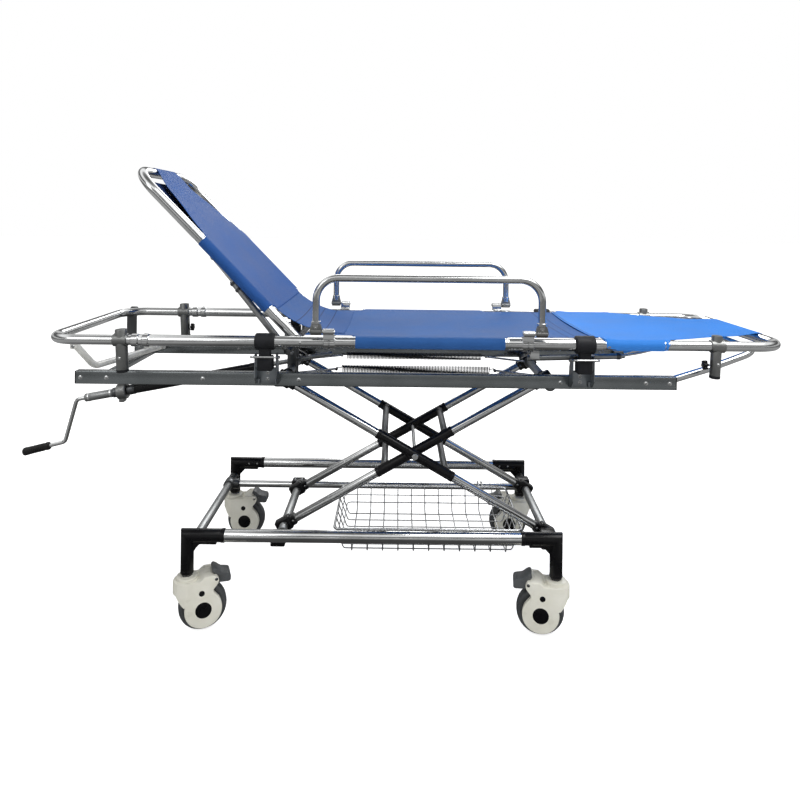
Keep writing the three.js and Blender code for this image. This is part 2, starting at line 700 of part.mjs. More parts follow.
function litterFrame() {
  const l = LITTER;
  const pieces = [];
  for (const side of [-1, 1]) {
    const y = side * l.y;
    pieces.push(rod(v(l.joinX, y, l.z), v(l.mainEndX, y, l.z), l.mainR, SIDES.large));
    pieces.push(rod(v(l.sleeveX, y, l.z), v(l.mainEndX, y, l.z), l.sleeveR, SIDES.large));
    pieces.push(rod(v(l.mainEndX, y, l.z), v(l.mainEndX + 12, y, l.z), l.sleeveR, SIDES.large, l.loopR));
    pieces.push(foot(FEET.footX, side, -FEET.lean, FEET.footR));
    pieces.push(guardClamp(GUARD.headX + 33, side, GUARD.headX));
    pieces.push(guardClamp(GUARD.footX - 33, side, GUARD.footX));
  }
  pieces.push(bentTube([
    v(l.mainEndX, -l.y, l.z),
    v(FOOT_LOOP_X, -l.y, l.z),
    v(FOOT_LOOP_X, l.y, l.z),
    v(l.mainEndX, l.y, l.z),
  ], LOOP_BEND, l.loopR, SIDES.large));
  return join(...pieces);
}

function headLoop() {
  const l = LITTER;
  const endX = l.joinX - GAP;
  const pieces = [bentTube([
    v(endX, -l.y, l.z),
    v(HEAD_LOOP_X, -l.y, l.z),
    v(HEAD_LOOP_X, l.y, l.z),
    v(endX, l.y, l.z),
  ], LOOP_BEND, l.loopR, SIDES.large)];
  for (const side of [-1, 1]) {
    pieces.push(rod(v(endX - 20, side * l.y, l.z), v(endX, side * l.y, l.z), l.sleeveR, SIDES.large));
    pieces.push(foot(FEET.headX, side, FEET.lean, FEET.headR));
  }
  pieces.push(box(-880, -847, 244, 251, 690, l.z));
  return join(...pieces);
}

addPart('litter_frame', litterFrame(), 'chrome');
addPart('litter_head_loop', headLoop(), 'chrome');

function saddle(x, tubeR) {
  const s = SADDLE;
  const y = -LITTER.y;
  const ring = rod(v(x - s.ringHalf, y, LITTER.z), v(x + s.ringHalf, y, LITTER.z), tubeR + s.ringWall, SIDES.large);
  const bore = rod(v(x - 60, y, LITTER.z), v(x + 60, y, LITTER.z), tubeR + s.bore, SIDES.large);
  const waist = box(x - s.stemHalfX, x + s.stemHalfX, y - 12, y + 12, s.blockTopZ - 2, LITTER.z - tubeR);
  const block = box(x - s.blockHalfX, x + s.blockHalfX, y - 8, y + 26, s.blockLowZ, s.blockTopZ);
  return join(ring, waist, block).subtract(bore);
}

CLAMP_X.forEach((x, i) => {
  const end = ['head', 'foot'][i];
  const tubeR = [LITTER.mainR, LITTER.sleeveR][i];
  addPair(`clamp_bracket_${end}`, clampBracket(x), 'steel');
  addPair(`bail_${end}`, bail(x), 'chrome');
  addPair(`saddle_${end}`, saddle(x, tubeR), 'rubber');
});

// Backrest, built from distances along it (u) and square to it on the upper side (n)
const backAlong = v(-Math.cos(BACK.angle * DEG), 0, Math.sin(BACK.angle * DEG));
const backUp = v(Math.sin(BACK.angle * DEG), 0, Math.cos(BACK.angle * DEG));
function onBack(u, y, n = 0) {
  const point = v(HINGE.x, y, HINGE.z).addScaledVector(backAlong, u);
  return point.addScaledVector(backUp, n);
}

function backrest() {
  const b = BACK;
  const pieces = [bentTube([
    onBack(0, -b.halfY),
    onBack(b.length, -b.halfY),
    onBack(b.length, b.halfY),
    onBack(0, b.halfY),
  ], b.bend, b.r, SIDES.large)];
  for (const side of [-1, 1]) {
    const y = (value) => side * value;
    pieces.push(rod(onBack(0, y(211)), onBack(0, y(249.2)), 13, SIDES.medium));
    pieces.push(rod(onBack(-7, y(b.strutY), b.strutN), onBack(240, y(b.strutY), -24), 9, SIDES.medium));
    pieces.push(rod(onBack(236, y(b.strutY), -24.3), onBack(335, y(b.strutY), -17), 6, SIDES.small));
    pieces.push(rod(onBack(322, y(b.strutY), -18), onBack(322, y(b.halfY), -4), 8, SIDES.small));
  }
  pieces.push(rod(onBack(-7, -b.strutY - 9, b.strutN), onBack(-7, b.strutY + 9, b.strutN), 10, SIDES.medium));
  return join(...pieces);
}

addPart('backrest_frame', backrest(), 'chrome');

function guardRail() {
  const g = GUARD;
  const y = -g.y;
  const arch = bentTube([
    v(g.headX, y, g.legZ - 4),
    v(g.headX, y, g.topZ),
    v(g.footX, y, g.topZ),
    v(g.footX, y, g.legZ - 4),
  ], g.bend, g.r);
  const knuckles = [g.headX, g.footX].map((x) => {
    const block = box(x - 13, x + 13, y - 8, y + 8, g.pivotZ, g.legZ + 6);
    const barrel = rod(v(x - 15, y, g.pivotZ), v(x + 15, y, g.pivotZ), 9, SIDES.medium);
    const bore = rod(v(x - 40, y, g.pivotZ), v(x + 40, y, g.pivotZ), 4.5, SIDES.small);
    return block.add(barrel).subtract(bore);
  });
  return join(arch, ...knuckles);
}

addPair('guard_rail', guardRail(), 'chrome');

// ---------------------------------------------------------------- litter fabric

function clothPlan(outline) {
  const shape = new THREE.Shape(outline.map(([x, y]) => new THREE.Vector2(x, y)));
  const geometry = new THREE.ExtrudeGeometry(shape, { depth: CLOTH.thick, bevelEnabled: false });
  return toSolid(geometry);
}

addPart('fabric_seat', moved(clothPlan([
  [-204, -CLOTH.halfY],
  [562, -CLOTH.halfY],
  [562, CLOTH.halfY],
  [-204, CLOTH.halfY],
]), 0, 0, CLOTH.z - CLOTH.thick / 2), 'fabric');

addPart('fabric_foot', moved(clothPlan([
  [604, -CLOTH.halfY],
  [766, -CLOTH.halfY],
  [1062, -122],
  [1062, 122],
  [766, CLOTH.halfY],
  [604, CLOTH.halfY],
]), 0, 0, CLOTH.z - CLOTH.thick / 2), 'fabric');

const backCloth = clothPlan([
  [30, -204],
  [363, -204],
  [619, -84],
  [619, 84],
  [363, 204],
  [30, 204],
]);
addPart('fabric_back', moved(
  moved(backCloth, 0, 0, 5).mirror([1, 0, 0]).rotate([0, BACK.angle, 0]),
  HINGE.x,
  0,
  HINGE.z,
), 'fabric');

export default trolley;
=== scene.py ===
"""Visual model of the stretcher trolley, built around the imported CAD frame.

Shapes are written in millimetres in the row frame (+X foot end, +Y far side, +Z up) and stored in metres.
"""

import json
from math import atan2, cos, pi, radians, sin, tan, tau

import bmesh
import bpy
from mathutils import Matrix, Vector


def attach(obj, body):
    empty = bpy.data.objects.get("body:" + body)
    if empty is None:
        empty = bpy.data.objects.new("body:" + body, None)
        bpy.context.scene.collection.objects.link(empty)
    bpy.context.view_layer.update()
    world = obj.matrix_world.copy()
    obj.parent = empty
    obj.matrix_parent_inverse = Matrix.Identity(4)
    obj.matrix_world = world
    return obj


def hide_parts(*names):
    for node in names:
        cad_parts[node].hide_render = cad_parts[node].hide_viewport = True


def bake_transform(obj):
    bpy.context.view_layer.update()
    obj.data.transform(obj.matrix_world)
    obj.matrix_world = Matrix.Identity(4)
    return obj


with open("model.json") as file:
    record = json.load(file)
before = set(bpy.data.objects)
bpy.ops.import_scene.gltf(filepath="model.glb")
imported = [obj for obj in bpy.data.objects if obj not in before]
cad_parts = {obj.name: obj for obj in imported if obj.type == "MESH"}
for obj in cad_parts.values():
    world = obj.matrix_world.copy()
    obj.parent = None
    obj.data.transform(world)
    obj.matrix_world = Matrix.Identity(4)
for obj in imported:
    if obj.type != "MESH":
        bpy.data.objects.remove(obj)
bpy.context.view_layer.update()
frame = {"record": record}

SCENE = bpy.context.scene
MM = 0.001
SIDES = {"near": -1, "far": 1}
SIGNS = (-1, 1)
X, Y, Z = (1, 0, 0), (0, 1, 0), (0, 0, 1)


def add_object(name, data):
    obj = bpy.data.objects.new(name, data)
    SCENE.collection.objects.link(obj)
    return obj


# ---------------------------------------------------------------- camera

PHOTO_SIZE = 800
FOCAL_PX = 667
PRINCIPAL = (397, 218)
CAMERA_AT = (0.041, -2.039, 1.10)
CAMERA_ROLL = 0.011
SENSOR = 36.0

camera = add_object("camera", bpy.data.cameras.new("camera"))
camera.data.sensor_width = SENSOR
camera.data.lens = SENSOR * FOCAL_PX / PHOTO_SIZE
camera.data.shift_x = (PHOTO_SIZE / 2 - PRINCIPAL[0]) / PHOTO_SIZE
camera.data.shift_y = (PRINCIPAL[1] - PHOTO_SIZE / 2) / PHOTO_SIZE
camera.data.clip_end = 60
camera.matrix_world = (
    Matrix.Translation(CAMERA_AT) @ Matrix.Rotation(radians(90), 4, "X") @ Matrix.Rotation(CAMERA_ROLL, 4, "Z")
)
SCENE.camera = camera
SCENE.view_settings.view_transform = "Standard"

# ---------------------------------------------------------------- node trees


class Net:
    """A cleared node tree, with short calls that add and join nodes."""

    def __init__(self, tree):
        tree.nodes.clear()
        self.nodes, self.link = tree.nodes, tree.links.new

    def add(self, kind, **values):
        """Adds a shader node and sets its inputs, named with _ for each space."""
        node = self.nodes.new("ShaderNode" + kind)
        for name, value in values.items():
            node.inputs[name.replace("_", " ")].default_value = value
        return node

    def math(self, operation, *values):
        """Output of a Math node whose inputs are numbers or sockets."""
        node = self.add("Math")
        node.operation = operation
        for socket, value in zip(node.inputs, values):
            if isinstance(value, float):
                socket.default_value = value
            else:
                self.link(value, socket)
        return node.outputs[0]

    def ramp(self, share, stops):
        """Colour over stops of (place, grey or colour)."""
        node = self.add("ValToRGB")
        elements = node.color_ramp.elements
        while len(elements) < len(stops):
            elements.new(0.5)
        for element, (place, value) in zip(elements, stops):
            element.position = place
            element.color = (*value, 1) if hasattr(value, "__len__") else (value, value, value, 1)
        self.link(share, node.inputs["Fac"])
        return node.outputs["Color"]

    def background(self, strength):
        return self.add("Background", Color=(1, 1, 1, 1), Strength=strength)

    def choose(self, ray, otherwise, chosen):
        """Shader that is chosen for the rays of one kind, such as Is Camera Ray."""
        mix = self.add("MixShader")
        self.link(self.add("LightPath").outputs[ray], mix.inputs["Fac"])
        self.link(otherwise.outputs[0], mix.inputs[1])
        self.link(chosen.outputs[0], mix.inputs[2])
        return mix


# ---------------------------------------------------------------- light

ROOM_BANDS = [
    (0.00, 0.20), (0.49, 0.22), (0.53, 0.60), (0.58, 0.80), (0.62, 0.16), (0.71, 0.07), (0.76, 0.50),
    (0.82, 1.15), (0.90, 1.00), (0.94, 0.30), (1.00, 0.12),
]
MATT_GLOW = 0.46


def studio_world():
    """White to the camera, an even glow on matt surfaces, and a banded room in reflections."""
    world = bpy.data.worlds.new("studio")
    SCENE.world = world
    world.use_nodes = True
    net = Net(world.node_tree)
    room, split = net.background(1.0), net.add("SeparateXYZ")
    net.link(net.add("TexCoord").outputs["Generated"], split.inputs[0])
    height = net.math("MULTIPLY_ADD", split.outputs["Z"], 0.5, 0.5)
    net.link(net.ramp(height, ROOM_BANDS), room.inputs["Color"])
    reflected = net.choose("Is Glossy Ray", net.background(MATT_GLOW), room)
    final = net.choose("Is Camera Ray", reflected, net.background(1.0))
    net.link(final.outputs[0], net.add("OutputWorld").inputs["Surface"])


def area_light(name, place, target, size, watts):
    light = add_object(name, bpy.data.lights.new(name, "AREA"))
    light.data.shape = "RECTANGLE"
    light.data.size, light.data.size_y = size
    light.data.energy = watts
    light.location = place
    light.rotation_euler = (Vector(target) - Vector(place)).to_track_quat("-Z", "Y").to_euler()


studio_world()
area_light("key_light", (1.5, -0.9, 3.2), (0.2, 0.0, 0.6), (2.2, 1.4), 62)
area_light("fill_light", (-2.4, -2.6, 2.4), (0.0, 0.0, 0.7), (1.4, 1.4), 14)
area_light("back_light", (0.4, 3.0, 2.6), (0.2, 0.0, 0.7), (2.4, 1.2), 34)

# ---------------------------------------------------------------- materials

NOISE_LOW, NOISE_HIGH = 0.3, 0.7
THREAD_BLUE = (0.006, 0.02, 0.09, 1)
HALF_STITCH = 0.0011


class Surface(Net):
    """A Principled material, and the ways it varies over a piece's own coordinates in metres."""

    def __init__(self, name, color, roughness, **values):
        self.material = bpy.data.materials.new(name)
        self.material.use_nodes = True
        super().__init__(self.material.node_tree)
        self.out = self.add("OutputMaterial")
        self.main = self.add("BsdfPrincipled", Base_Color=(*color, 1), Roughness=roughness, **values)
        self.link(self.main.outputs[0], self.out.inputs["Surface"])

    def place(self):
        return self.add("TexCoord").outputs["Object"]

    def noise(self, scale, detail, stretch=(1, 1, 1)):
        mapping, texture = self.add("Mapping", Scale=stretch), self.add("TexNoise", Scale=scale, Detail=detail)
        self.link(self.place(), mapping.inputs["Vector"])
        self.link(mapping.outputs[0], texture.inputs["Vector"])
        return texture.outputs[0]

    def cloudy(self, cloud, dark, light):
        return self.ramp(cloud, [(NOISE_LOW, dark), (NOISE_HIGH, light)])

    def paint(self, color):
        self.link(color, self.main.inputs["Base Color"])

    def polish(self, texture, low, high):
        span = self.add("MapRange", From_Min=NOISE_LOW, From_Max=NOISE_HIGH, To_Min=low, To_Max=high)
        self.link(texture, span.inputs["Value"])
        self.link(span.outputs[0], self.main.inputs["Roughness"])

    def emboss(self, height, strength, distance):
        bump = self.add("Bump", Strength=strength, Distance=distance)
        self.link(height, bump.inputs["Height"])
        self.link(bump.outputs[0], self.main.inputs["Normal"])

    def stitched(self, color, lines):
        """The colour, darkened on thin lines across X as rows of thread do."""
        split = self.add("SeparateXYZ")
        self.link(self.place(), split.inputs[0])
        for line in lines:
            away = self.math("ABSOLUTE", self.math("SUBTRACT", split.outputs["X"], line))
            mix = self.add("Mix")
            mix.data_type = "RGBA"
            mix.inputs["B"].default_value = THREAD_BLUE
            self.link(self.math("LESS_THAN", away, HALF_STITCH), mix.inputs["Factor"])
            self.link(color, mix.inputs["A"])
            color = mix.outputs["Result"]
        return color


def metal(name, dark, light, rough, drawn=(3, 60, 60), grain=14.0, bump=0.05):
    """Metal with drawn streaks, cloudy tone and uneven polish."""
    surface = Surface(name, light, rough[0], Metallic=1.0)
    surface.paint(surface.cloudy(surface.noise(9.0, 4.0), dark, light))
    streaks = surface.noise(grain, 5.0, drawn)
    surface.polish(streaks, *rough)
    surface.emboss(streaks, bump, 0.0004)
    return surface.material


def plastic(name, dark, light, rough, grain=900.0, bump=0.12, **values):
    """Moulded plastic with a fine spark-eroded grain."""
    surface = Surface(name, light, rough[0], **values)
    cloud = surface.noise(25.0, 3.0)
    surface.paint(surface.cloudy(cloud, dark, light))
    surface.polish(cloud, *rough)
    surface.emboss(surface.noise(grain, 2.0), bump, 0.0003)
    return surface.material


def coated_cloth(name, dark, light, rough, lines=()):
    """Coated woven cloth: faint crossed threads under a soft gloss, with slow creases and dark stitch lines."""
    surface = Surface(name, light, rough[0], Specular_IOR_Level=0.08)
    cloud = surface.noise(7.0, 5.0)
    surface.paint(surface.stitched(surface.cloudy(cloud, dark, light), lines))
    surface.polish(cloud, *rough)
    threads = []
    for direction in "XY":
        wave = surface.add("TexWave", Scale=260.0)
        wave.bands_direction = direction
        surface.link(surface.place(), wave.inputs["Vector"])
        threads.append(wave.outputs["Fac"])
    creases = surface.math("MULTIPLY", surface.noise(11.0, 4.0, (1, 0.6, 1)), 9.0)
    surface.emboss(surface.math("ADD", surface.math("MULTIPLY", *threads), creases), 0.35, 0.0006)
    return surface.material


EVEN = (1, 1, 1)
DULL = {"Specular_IOR_Level": 0.35}
SEAT_SEAMS, HIP_SEAMS, FOOT_SEAMS = (0.505, 0.530), (-0.158, -0.196, -0.234), (0.579,)
MAT = {
    "chrome": metal("polished_tube", (0.62, 0.63, 0.63), (0.80, 0.81, 0.81), (0.12, 0.22)),
    "wire": metal("plated_wire", (0.50, 0.51, 0.52), (0.68, 0.69, 0.70), (0.20, 0.32), EVEN, 60.0),
    "satin": metal("satin_tube", (0.30, 0.31, 0.31), (0.46, 0.47, 0.47), (0.34, 0.48)),
    "dark": metal("dark_steel", (0.09, 0.095, 0.10), (0.16, 0.165, 0.17), (0.30, 0.42)),
    "rail": metal("rail_steel", (0.22, 0.24, 0.245), (0.30, 0.32, 0.33), (0.20, 0.30), (2, 80, 80), 10.0),
    "cast": metal("cast_alloy", (0.20, 0.205, 0.20), (0.36, 0.365, 0.36), (0.34, 0.52), EVEN, 130.0, 0.35),
    "plate": metal("zinc_plate", (0.20, 0.22, 0.24), (0.42, 0.45, 0.47), (0.26, 0.42), EVEN, 45.0, 0.15),
    "spring": metal("spring_steel", (0.04, 0.04, 0.04), (0.11, 0.11, 0.11), (0.22, 0.36), EVEN, 80.0),
    "black": plastic(
        "black_nylon", (0.003, 0.003, 0.004), (0.006, 0.006, 0.007), (0.22, 0.36), Specular_IOR_Level=0.3),
    "rubber": plastic(
        "black_rubber", (0.006, 0.007, 0.009), (0.013, 0.014, 0.018), (0.50, 0.72), 420.0, 0.6, **DULL),
    "grip": plastic("grip_rubber", (0.005, 0.005, 0.005), (0.012, 0.011, 0.011), (0.35, 0.50), 500.0, 0.3, **DULL),
    "tyre": plastic("grey_tyre", (0.050, 0.054, 0.058), (0.085, 0.090, 0.095), (0.42, 0.60), 300.0, 0.25),
    "pedal": plastic("grey_pedal", (0.070, 0.076, 0.080), (0.105, 0.112, 0.118), (0.34, 0.48)),
    "hub": plastic("wheel_core", (0.40, 0.40, 0.38), (0.52, 0.52, 0.50), (0.36, 0.48)),
    "cream": plastic(
        "cream_shell", (0.78, 0.765, 0.66), (0.86, 0.845, 0.75), (0.26, 0.38), 700.0, 0.08, Coat_Weight=0.15),
    "white": plastic(
        "white_enamel", (0.70, 0.70, 0.66), (0.84, 0.84, 0.80), (0.22, 0.34), 260.0, 0.10, Coat_Weight=0.2),
    "cloth": coated_cloth("blue_cloth", (0.020, 0.080, 0.28), (0.028, 0.104, 0.35), (0.46, 0.58)),
    "seat_cloth": coated_cloth(
        "seat_cloth", (0.025, 0.094, 0.29), (0.036, 0.128, 0.38), (0.44, 0.56), SEAT_SEAMS),
    "hip_cloth": coated_cloth("hip_cloth", (0.022, 0.084, 0.27), (0.032, 0.110, 0.34), (0.46, 0.58), HIP_SEAMS),
    # Foot panel cloth: its blue is much lighter than the seat's, and this lightness is in part a painted
    # highlight, the sheen of light on the foot end painted into the colour.
    "foot_cloth": coated_cloth(
        "foot_cloth", (0.036, 0.215, 0.68), (0.050, 0.255, 0.78), (0.42, 0.52), FOOT_SEAMS),
    "hem_cloth": coated_cloth("hem_cloth", (0.008, 0.022, 0.085), (0.014, 0.034, 0.12), (0.45, 0.6)),
}

# ---------------------------------------------------------------- shape tools


def v(*xyz):
    return Vector(xyz)


def rounded(points, bend, steps):
    """Stations of a path whose corners are arcs of radius bend, or smaller where a leg is short."""
    pts = [Vector(p) for p in points]
    out = [pts[0]]
    for before, corner, after in zip(pts, pts[1:], pts[2:]):
        a, b = (before - corner), (after - corner)
        turn = pi - a.angle(b)
        if turn < 1e-4:
            out.append(corner)
            continue
        reach = min(bend * tan(turn / 2), a.length * 0.49, b.length * 0.49)
        radius = reach / tan(turn / 2)
        bisector = (a.normalized() + b.normalized()).normalized()
        centre = corner + bisector * (radius / cos(turn / 2))
        start = corner + a.normalized() * reach - centre
        normal = start.cross(corner + b.normalized() * reach - centre).normalized()
        for i in range(steps + 1):
            out.append(centre + Matrix.Rotation(turn * i / steps, 3, normal) @ start)
    out.append(pts[-1])
    return out


def turns(sides, shift=0.0):
    return [tau * (k + shift) / sides for k in range(sides)]


def spokes(axis, sides):
    """Unit vectors spread evenly round an axis."""
    side = axis.orthogonal().normalized()
    up = axis.cross(side)
    return [side * cos(a) + up * sin(a) for a in turns(sides)]


def turned(profile, origin, axis, sides):
    """Rings of a profile of (distance along, radius) about an axis."""
    origin, axis = Vector(origin), Vector(axis).normalized()
    around = spokes(axis, sides)
    return [[origin + axis * t + spoke * r for spoke in around] for t, r in profile]


class Piece:
    """Collects closed shells in millimetres, each with its material."""

    def __init__(self):
        self.verts, self.faces, self.mats = [], [], []

    def add(self, verts, faces, mat):
        base = len(self.verts)
        self.verts += [Vector(p) for p in verts]
        self.faces += [[base + i for i in f] for f in faces]
        self.mats += [mat] * len(faces)
        return self

    def rings(self, rings, mat, closed=False):
        """Joins rings of equal length into a skin, with a cap on each end."""
        n, count = len(rings[0]), len(rings)
        faces = []
        for r in range(count if closed else count - 1):
            a, b = r * n, ((r + 1) % count) * n
            faces += [[a + i, a + (i + 1) % n, b + (i + 1) % n, b + i] for i in range(n)]
        if not closed:
            faces += [list(range(n))[::-1], [(count - 1) * n + i for i in range(n)]]
        return self.add([p for ring in rings for p in ring], faces, mat)

    def sweep(self, stations, radii, mat, sides=20, closed=False):
        """Round section of the given radii along the stations."""
        count = len(stations)
        rings = []
        side = None
        for i, point in enumerate(stations):
            before = stations[i - 1] if (i or closed) else point
            after = stations[(i + 1) % count] if (i < count - 1 or closed) else point
            along = (after - before).normalized()
            side = side or along.orthogonal().normalized()
            side = (side - along * side.dot(along)).normalized()
            up = along.cross(side)
            rings.append([point + (side * cos(t) + up * sin(t)) * radii[i] for t in turns(sides)])
        return self.rings(rings, mat, closed)

    def rod(self, a, b, r, mat, r2=None, sides=28, chamfer=0.8):
        a, b = Vector(a), Vector(b)
        r2 = r2 or r
        along = (b - a).normalized()
        c = min(chamfer, (b - a).length / 3, r / 2, r2 / 2)
        stations = [a, a + along * c * 0.3, a + along * c, b - along * c, b - along * c * 0.3, b]
        radii = [r - c, r - c * 0.3, r, r2, r2 - c * 0.3, r2 - c]
        return self.sweep(stations, radii, mat, sides)

    def tube(self, points, bend, r, mat, sides=20, steps=10, chamfer=0.6):
        """Round tube through the points, with its corners bent and its ends chamfered."""
        path = rounded(points, bend, steps)
        first, last = (path[1] - path[0]).normalized(), (path[-2] - path[-1]).normalized()
        stations = [path[0], path[0] + first * chamfer, *path[1:-1], path[-1] + last * chamfer, path[-1]]
        return self.sweep(stations, [r - chamfer, *[r] * len(path), r - chamfer], mat, sides)

    def loop(self, points, bend, r, mat, sides=12, steps=6):
        """Closed tube through the given corners."""
        stations = rounded([*points, *points[:2]], bend, steps)[1:-1]
        return self.sweep(stations, [r] * len(stations), mat, sides, closed=True)

    def shell(self, bm, mat, matrix=None):
        """Takes over a bmesh."""
        if matrix:
            bmesh.ops.transform(bm, matrix=matrix, verts=bm.verts)
        bm.verts.index_update()
        self.add([p.co.copy() for p in bm.verts], [[p.index for p in f.verts] for f in bm.faces], mat)
        bm.free()
        return self

    def box(self, x, y, z, mat, bevel=1.2, segments=2, matrix=None):
        """Box over three spans, with rounded edges."""
        bm = bmesh.new()
        bmesh.ops.create_cube(bm, size=1)
        spans = [sorted(s) for s in (x, y, z)]
        for p in bm.verts:
            p.co = Vector([low + (c + 0.5) * (high - low) for c, (low, high) in zip(p.co, spans)])
        if bevel:
            bmesh.ops.bevel(bm, geom=bm.edges[:], offset=bevel, segments=segments, profile=0.5, affect="EDGES")
        return self.shell(bm, mat, matrix)

    def prism(self, outline, y, mat, bevel=1.0, segments=2, matrix=None):
        """Outline in X and Z, extruded over the span y."""
        bm = bmesh.new()
        low, high = sorted(y)
        bottom = bm.faces.new([bm.verts.new((x, low, z)) for x, z in outline])
        made = bmesh.ops.extrude_face_region(bm, geom=[bottom])
        moved = [g for g in made["geom"] if isinstance(g, bmesh.types.BMVert)]
        bmesh.ops.translate(bm, vec=(0, high - low, 0), verts=moved)
        bmesh.ops.recalc_face_normals(bm, faces=bm.faces)
        if bevel:
            edges = [e for e in bm.edges if abs(e.verts[0].co.y - e.verts[1].co.y) < 1e-6]
            bmesh.ops.bevel(bm, geom=edges, offset=bevel, segments=segments, profile=0.5, affect="EDGES")
        return self.shell(bm, mat, matrix)

    def lathe(self, profile, origin, axis, mat, sides=40):
        """Turns a profile of (distance along, radius) about the axis."""
        return self.rings(turned(profile, origin, axis, sides), mat)

    def ring(self, centre, axis, inner, outer, half, mat, sides=40, round_off=1.0):
        """Band with a hole, such as a collar round a tube."""
        c = min(round_off, half / 2, (outer - inner) / 2)
        rim = [(-half, outer - c), (-half + c, outer), (half - c, outer), (half, outer - c)]
        return self.rings(turned([(-half, inner), *rim, (half, inner)], centre, axis, sides), mat, closed=True)

    def screw(self, at, out, r=4.2, mat="chrome", height=2.2):
        """Domed cross-head screw, whose cross slot is a black cross on the dome: painted shade of the recess."""
        at, out = Vector(at), Vector(out).normalized()
        washer = [(-0.6, r * 1.25), (0.3, r * 1.25)]
        dome = [(0.5, r), (height * 0.7, r * 0.8), (height, r * 0.4), (height, 0.1)]
        self.lathe(washer + dome, at, out, mat, 20)
        top = at + out * (height - 0.3)
        side = out.orthogonal().normalized()
        # Black cross on top of the dome: painted shade that stands for the recessed cross slot.
        for across in (side, out.cross(side)):
            self.rod(top - across * r * 0.5, top + across * r * 0.5, 0.45, "black", sides=6, chamfer=0.1)
        return self

    def copy_from(self, other, matrix=Matrix.Identity(4)):
        flip = matrix.determinant() < 0
        base = len(self.verts)
        self.verts += [matrix @ p for p in other.verts]
        self.faces += [[base + i for i in (reversed(f) if flip else f)] for f in other.faces]
        self.mats += other.mats
        return self

    def mesh(self, name, sharp=40.0):
        """Smooth-shaded mesh in metres, with edges above the angle sharp."""
        used = sorted(set(self.mats), key=self.mats.index)
        mesh = bpy.data.meshes.new(name)
        mesh.from_pydata([p * MM for p in self.verts], [], self.faces)
        for key in used:
            mesh.materials.append(MAT[key])
        mesh.polygons.foreach_set("material_index", [used.index(m) for m in self.mats])
        mesh.polygons.foreach_set("use_smooth", [True] * len(self.faces))
        bm = bmesh.new()
        bm.from_mesh(mesh)
        bmesh.ops.recalc_face_normals(bm, faces=bm.faces)
        bm.to_mesh(mesh)
        bm.free()
        if sharp:
            mesh.set_sharp_from_angle(angle=radians(sharp))
        return mesh

    def build(self, node, slot):
        """Makes the piece that stands for a CAD node and rides on the node's body."""
        obj = add_object(node + "_v", self.mesh(node + "_v"))
        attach(obj, BODY_OF[node])
        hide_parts(node)


BODY_OF = {n: body for body, names in frame["record"]["behaviour"]["bodies"].items() for n in names}
MIRROR = Matrix.Diagonal((1, -1, 1, 1))


def build_pair(stem, near_piece, slot):
    near_piece.build(stem + "_near", slot)
    Piece().copy_from(near_piece, MIRROR).build(stem + "_far", slot)


def carve(piece, cutters):
    """The piece less the cutters, as a Piece of one material."""
    made = [add_object(f"carve_{i}", part.mesh(f"carve_{i}")) for i, part in enumerate([piece, *cutters])]
    for cutter in made[1:]:
        modifier = made[0].modifiers.new("cut", "BOOLEAN")
        modifier.operation = "DIFFERENCE"
        modifier.solver = "EXACT"
        modifier.object = cutter
    bpy.context.view_layer.update()
    mesh = bpy.data.meshes.new_from_object(made[0].evaluated_get(bpy.context.evaluated_depsgraph_get()))
    out = Piece().add([p.co / MM for p in mesh.vertices], [list(f.vertices) for f in mesh.polygons], piece.mats[0])
    for obj in made:
        bpy.data.objects.remove(obj)
    bpy.data.meshes.remove(mesh)
    return out


# ---------------------------------------------------------------- chassis

HEAD_X, FOOT_X, TRACK = -507, 474, 265
SIDE_Z, RAIL_Z, RAIL_Y = 251, 208, 187
SLEEVE_ENDS = {"head": (HEAD_X, -407), "foot": (FOOT_X, 380)}
CROSSBAR_Y, CROSSBAR_R, SOCKET_HALF = 248, 12.5, 19
FOOT_BAR_X, FOOT_BAR_Z = 470, 218


def mitred_elbow(p, post_x, y, end_x, inward, r=16.9, sides=40):
    """Upright post and level sleeve that meet on a 45 degree mitre."""
    around = [(cos(a), sin(a)) for a in turns(sides)]

    def upright(z, radius):
        return [v(post_x + radius * c, y + radius * s, z) for c, s in around]

    def level(x, radius):
        return [v(x, y + radius * s, SIDE_Z - inward * radius * c) for c, s in around]

    mitre = [v(post_x + r * c, y + r * s, SIDE_Z - inward * r * c) for c, s in around]
    post = [upright(149.5, r - 1.6), upright(151.0, r - 0.4), upright(152.5, r)]
    p.rings([*post, mitre, level(end_x - inward * 2, r), level(end_x, r - 1.2)], "black")


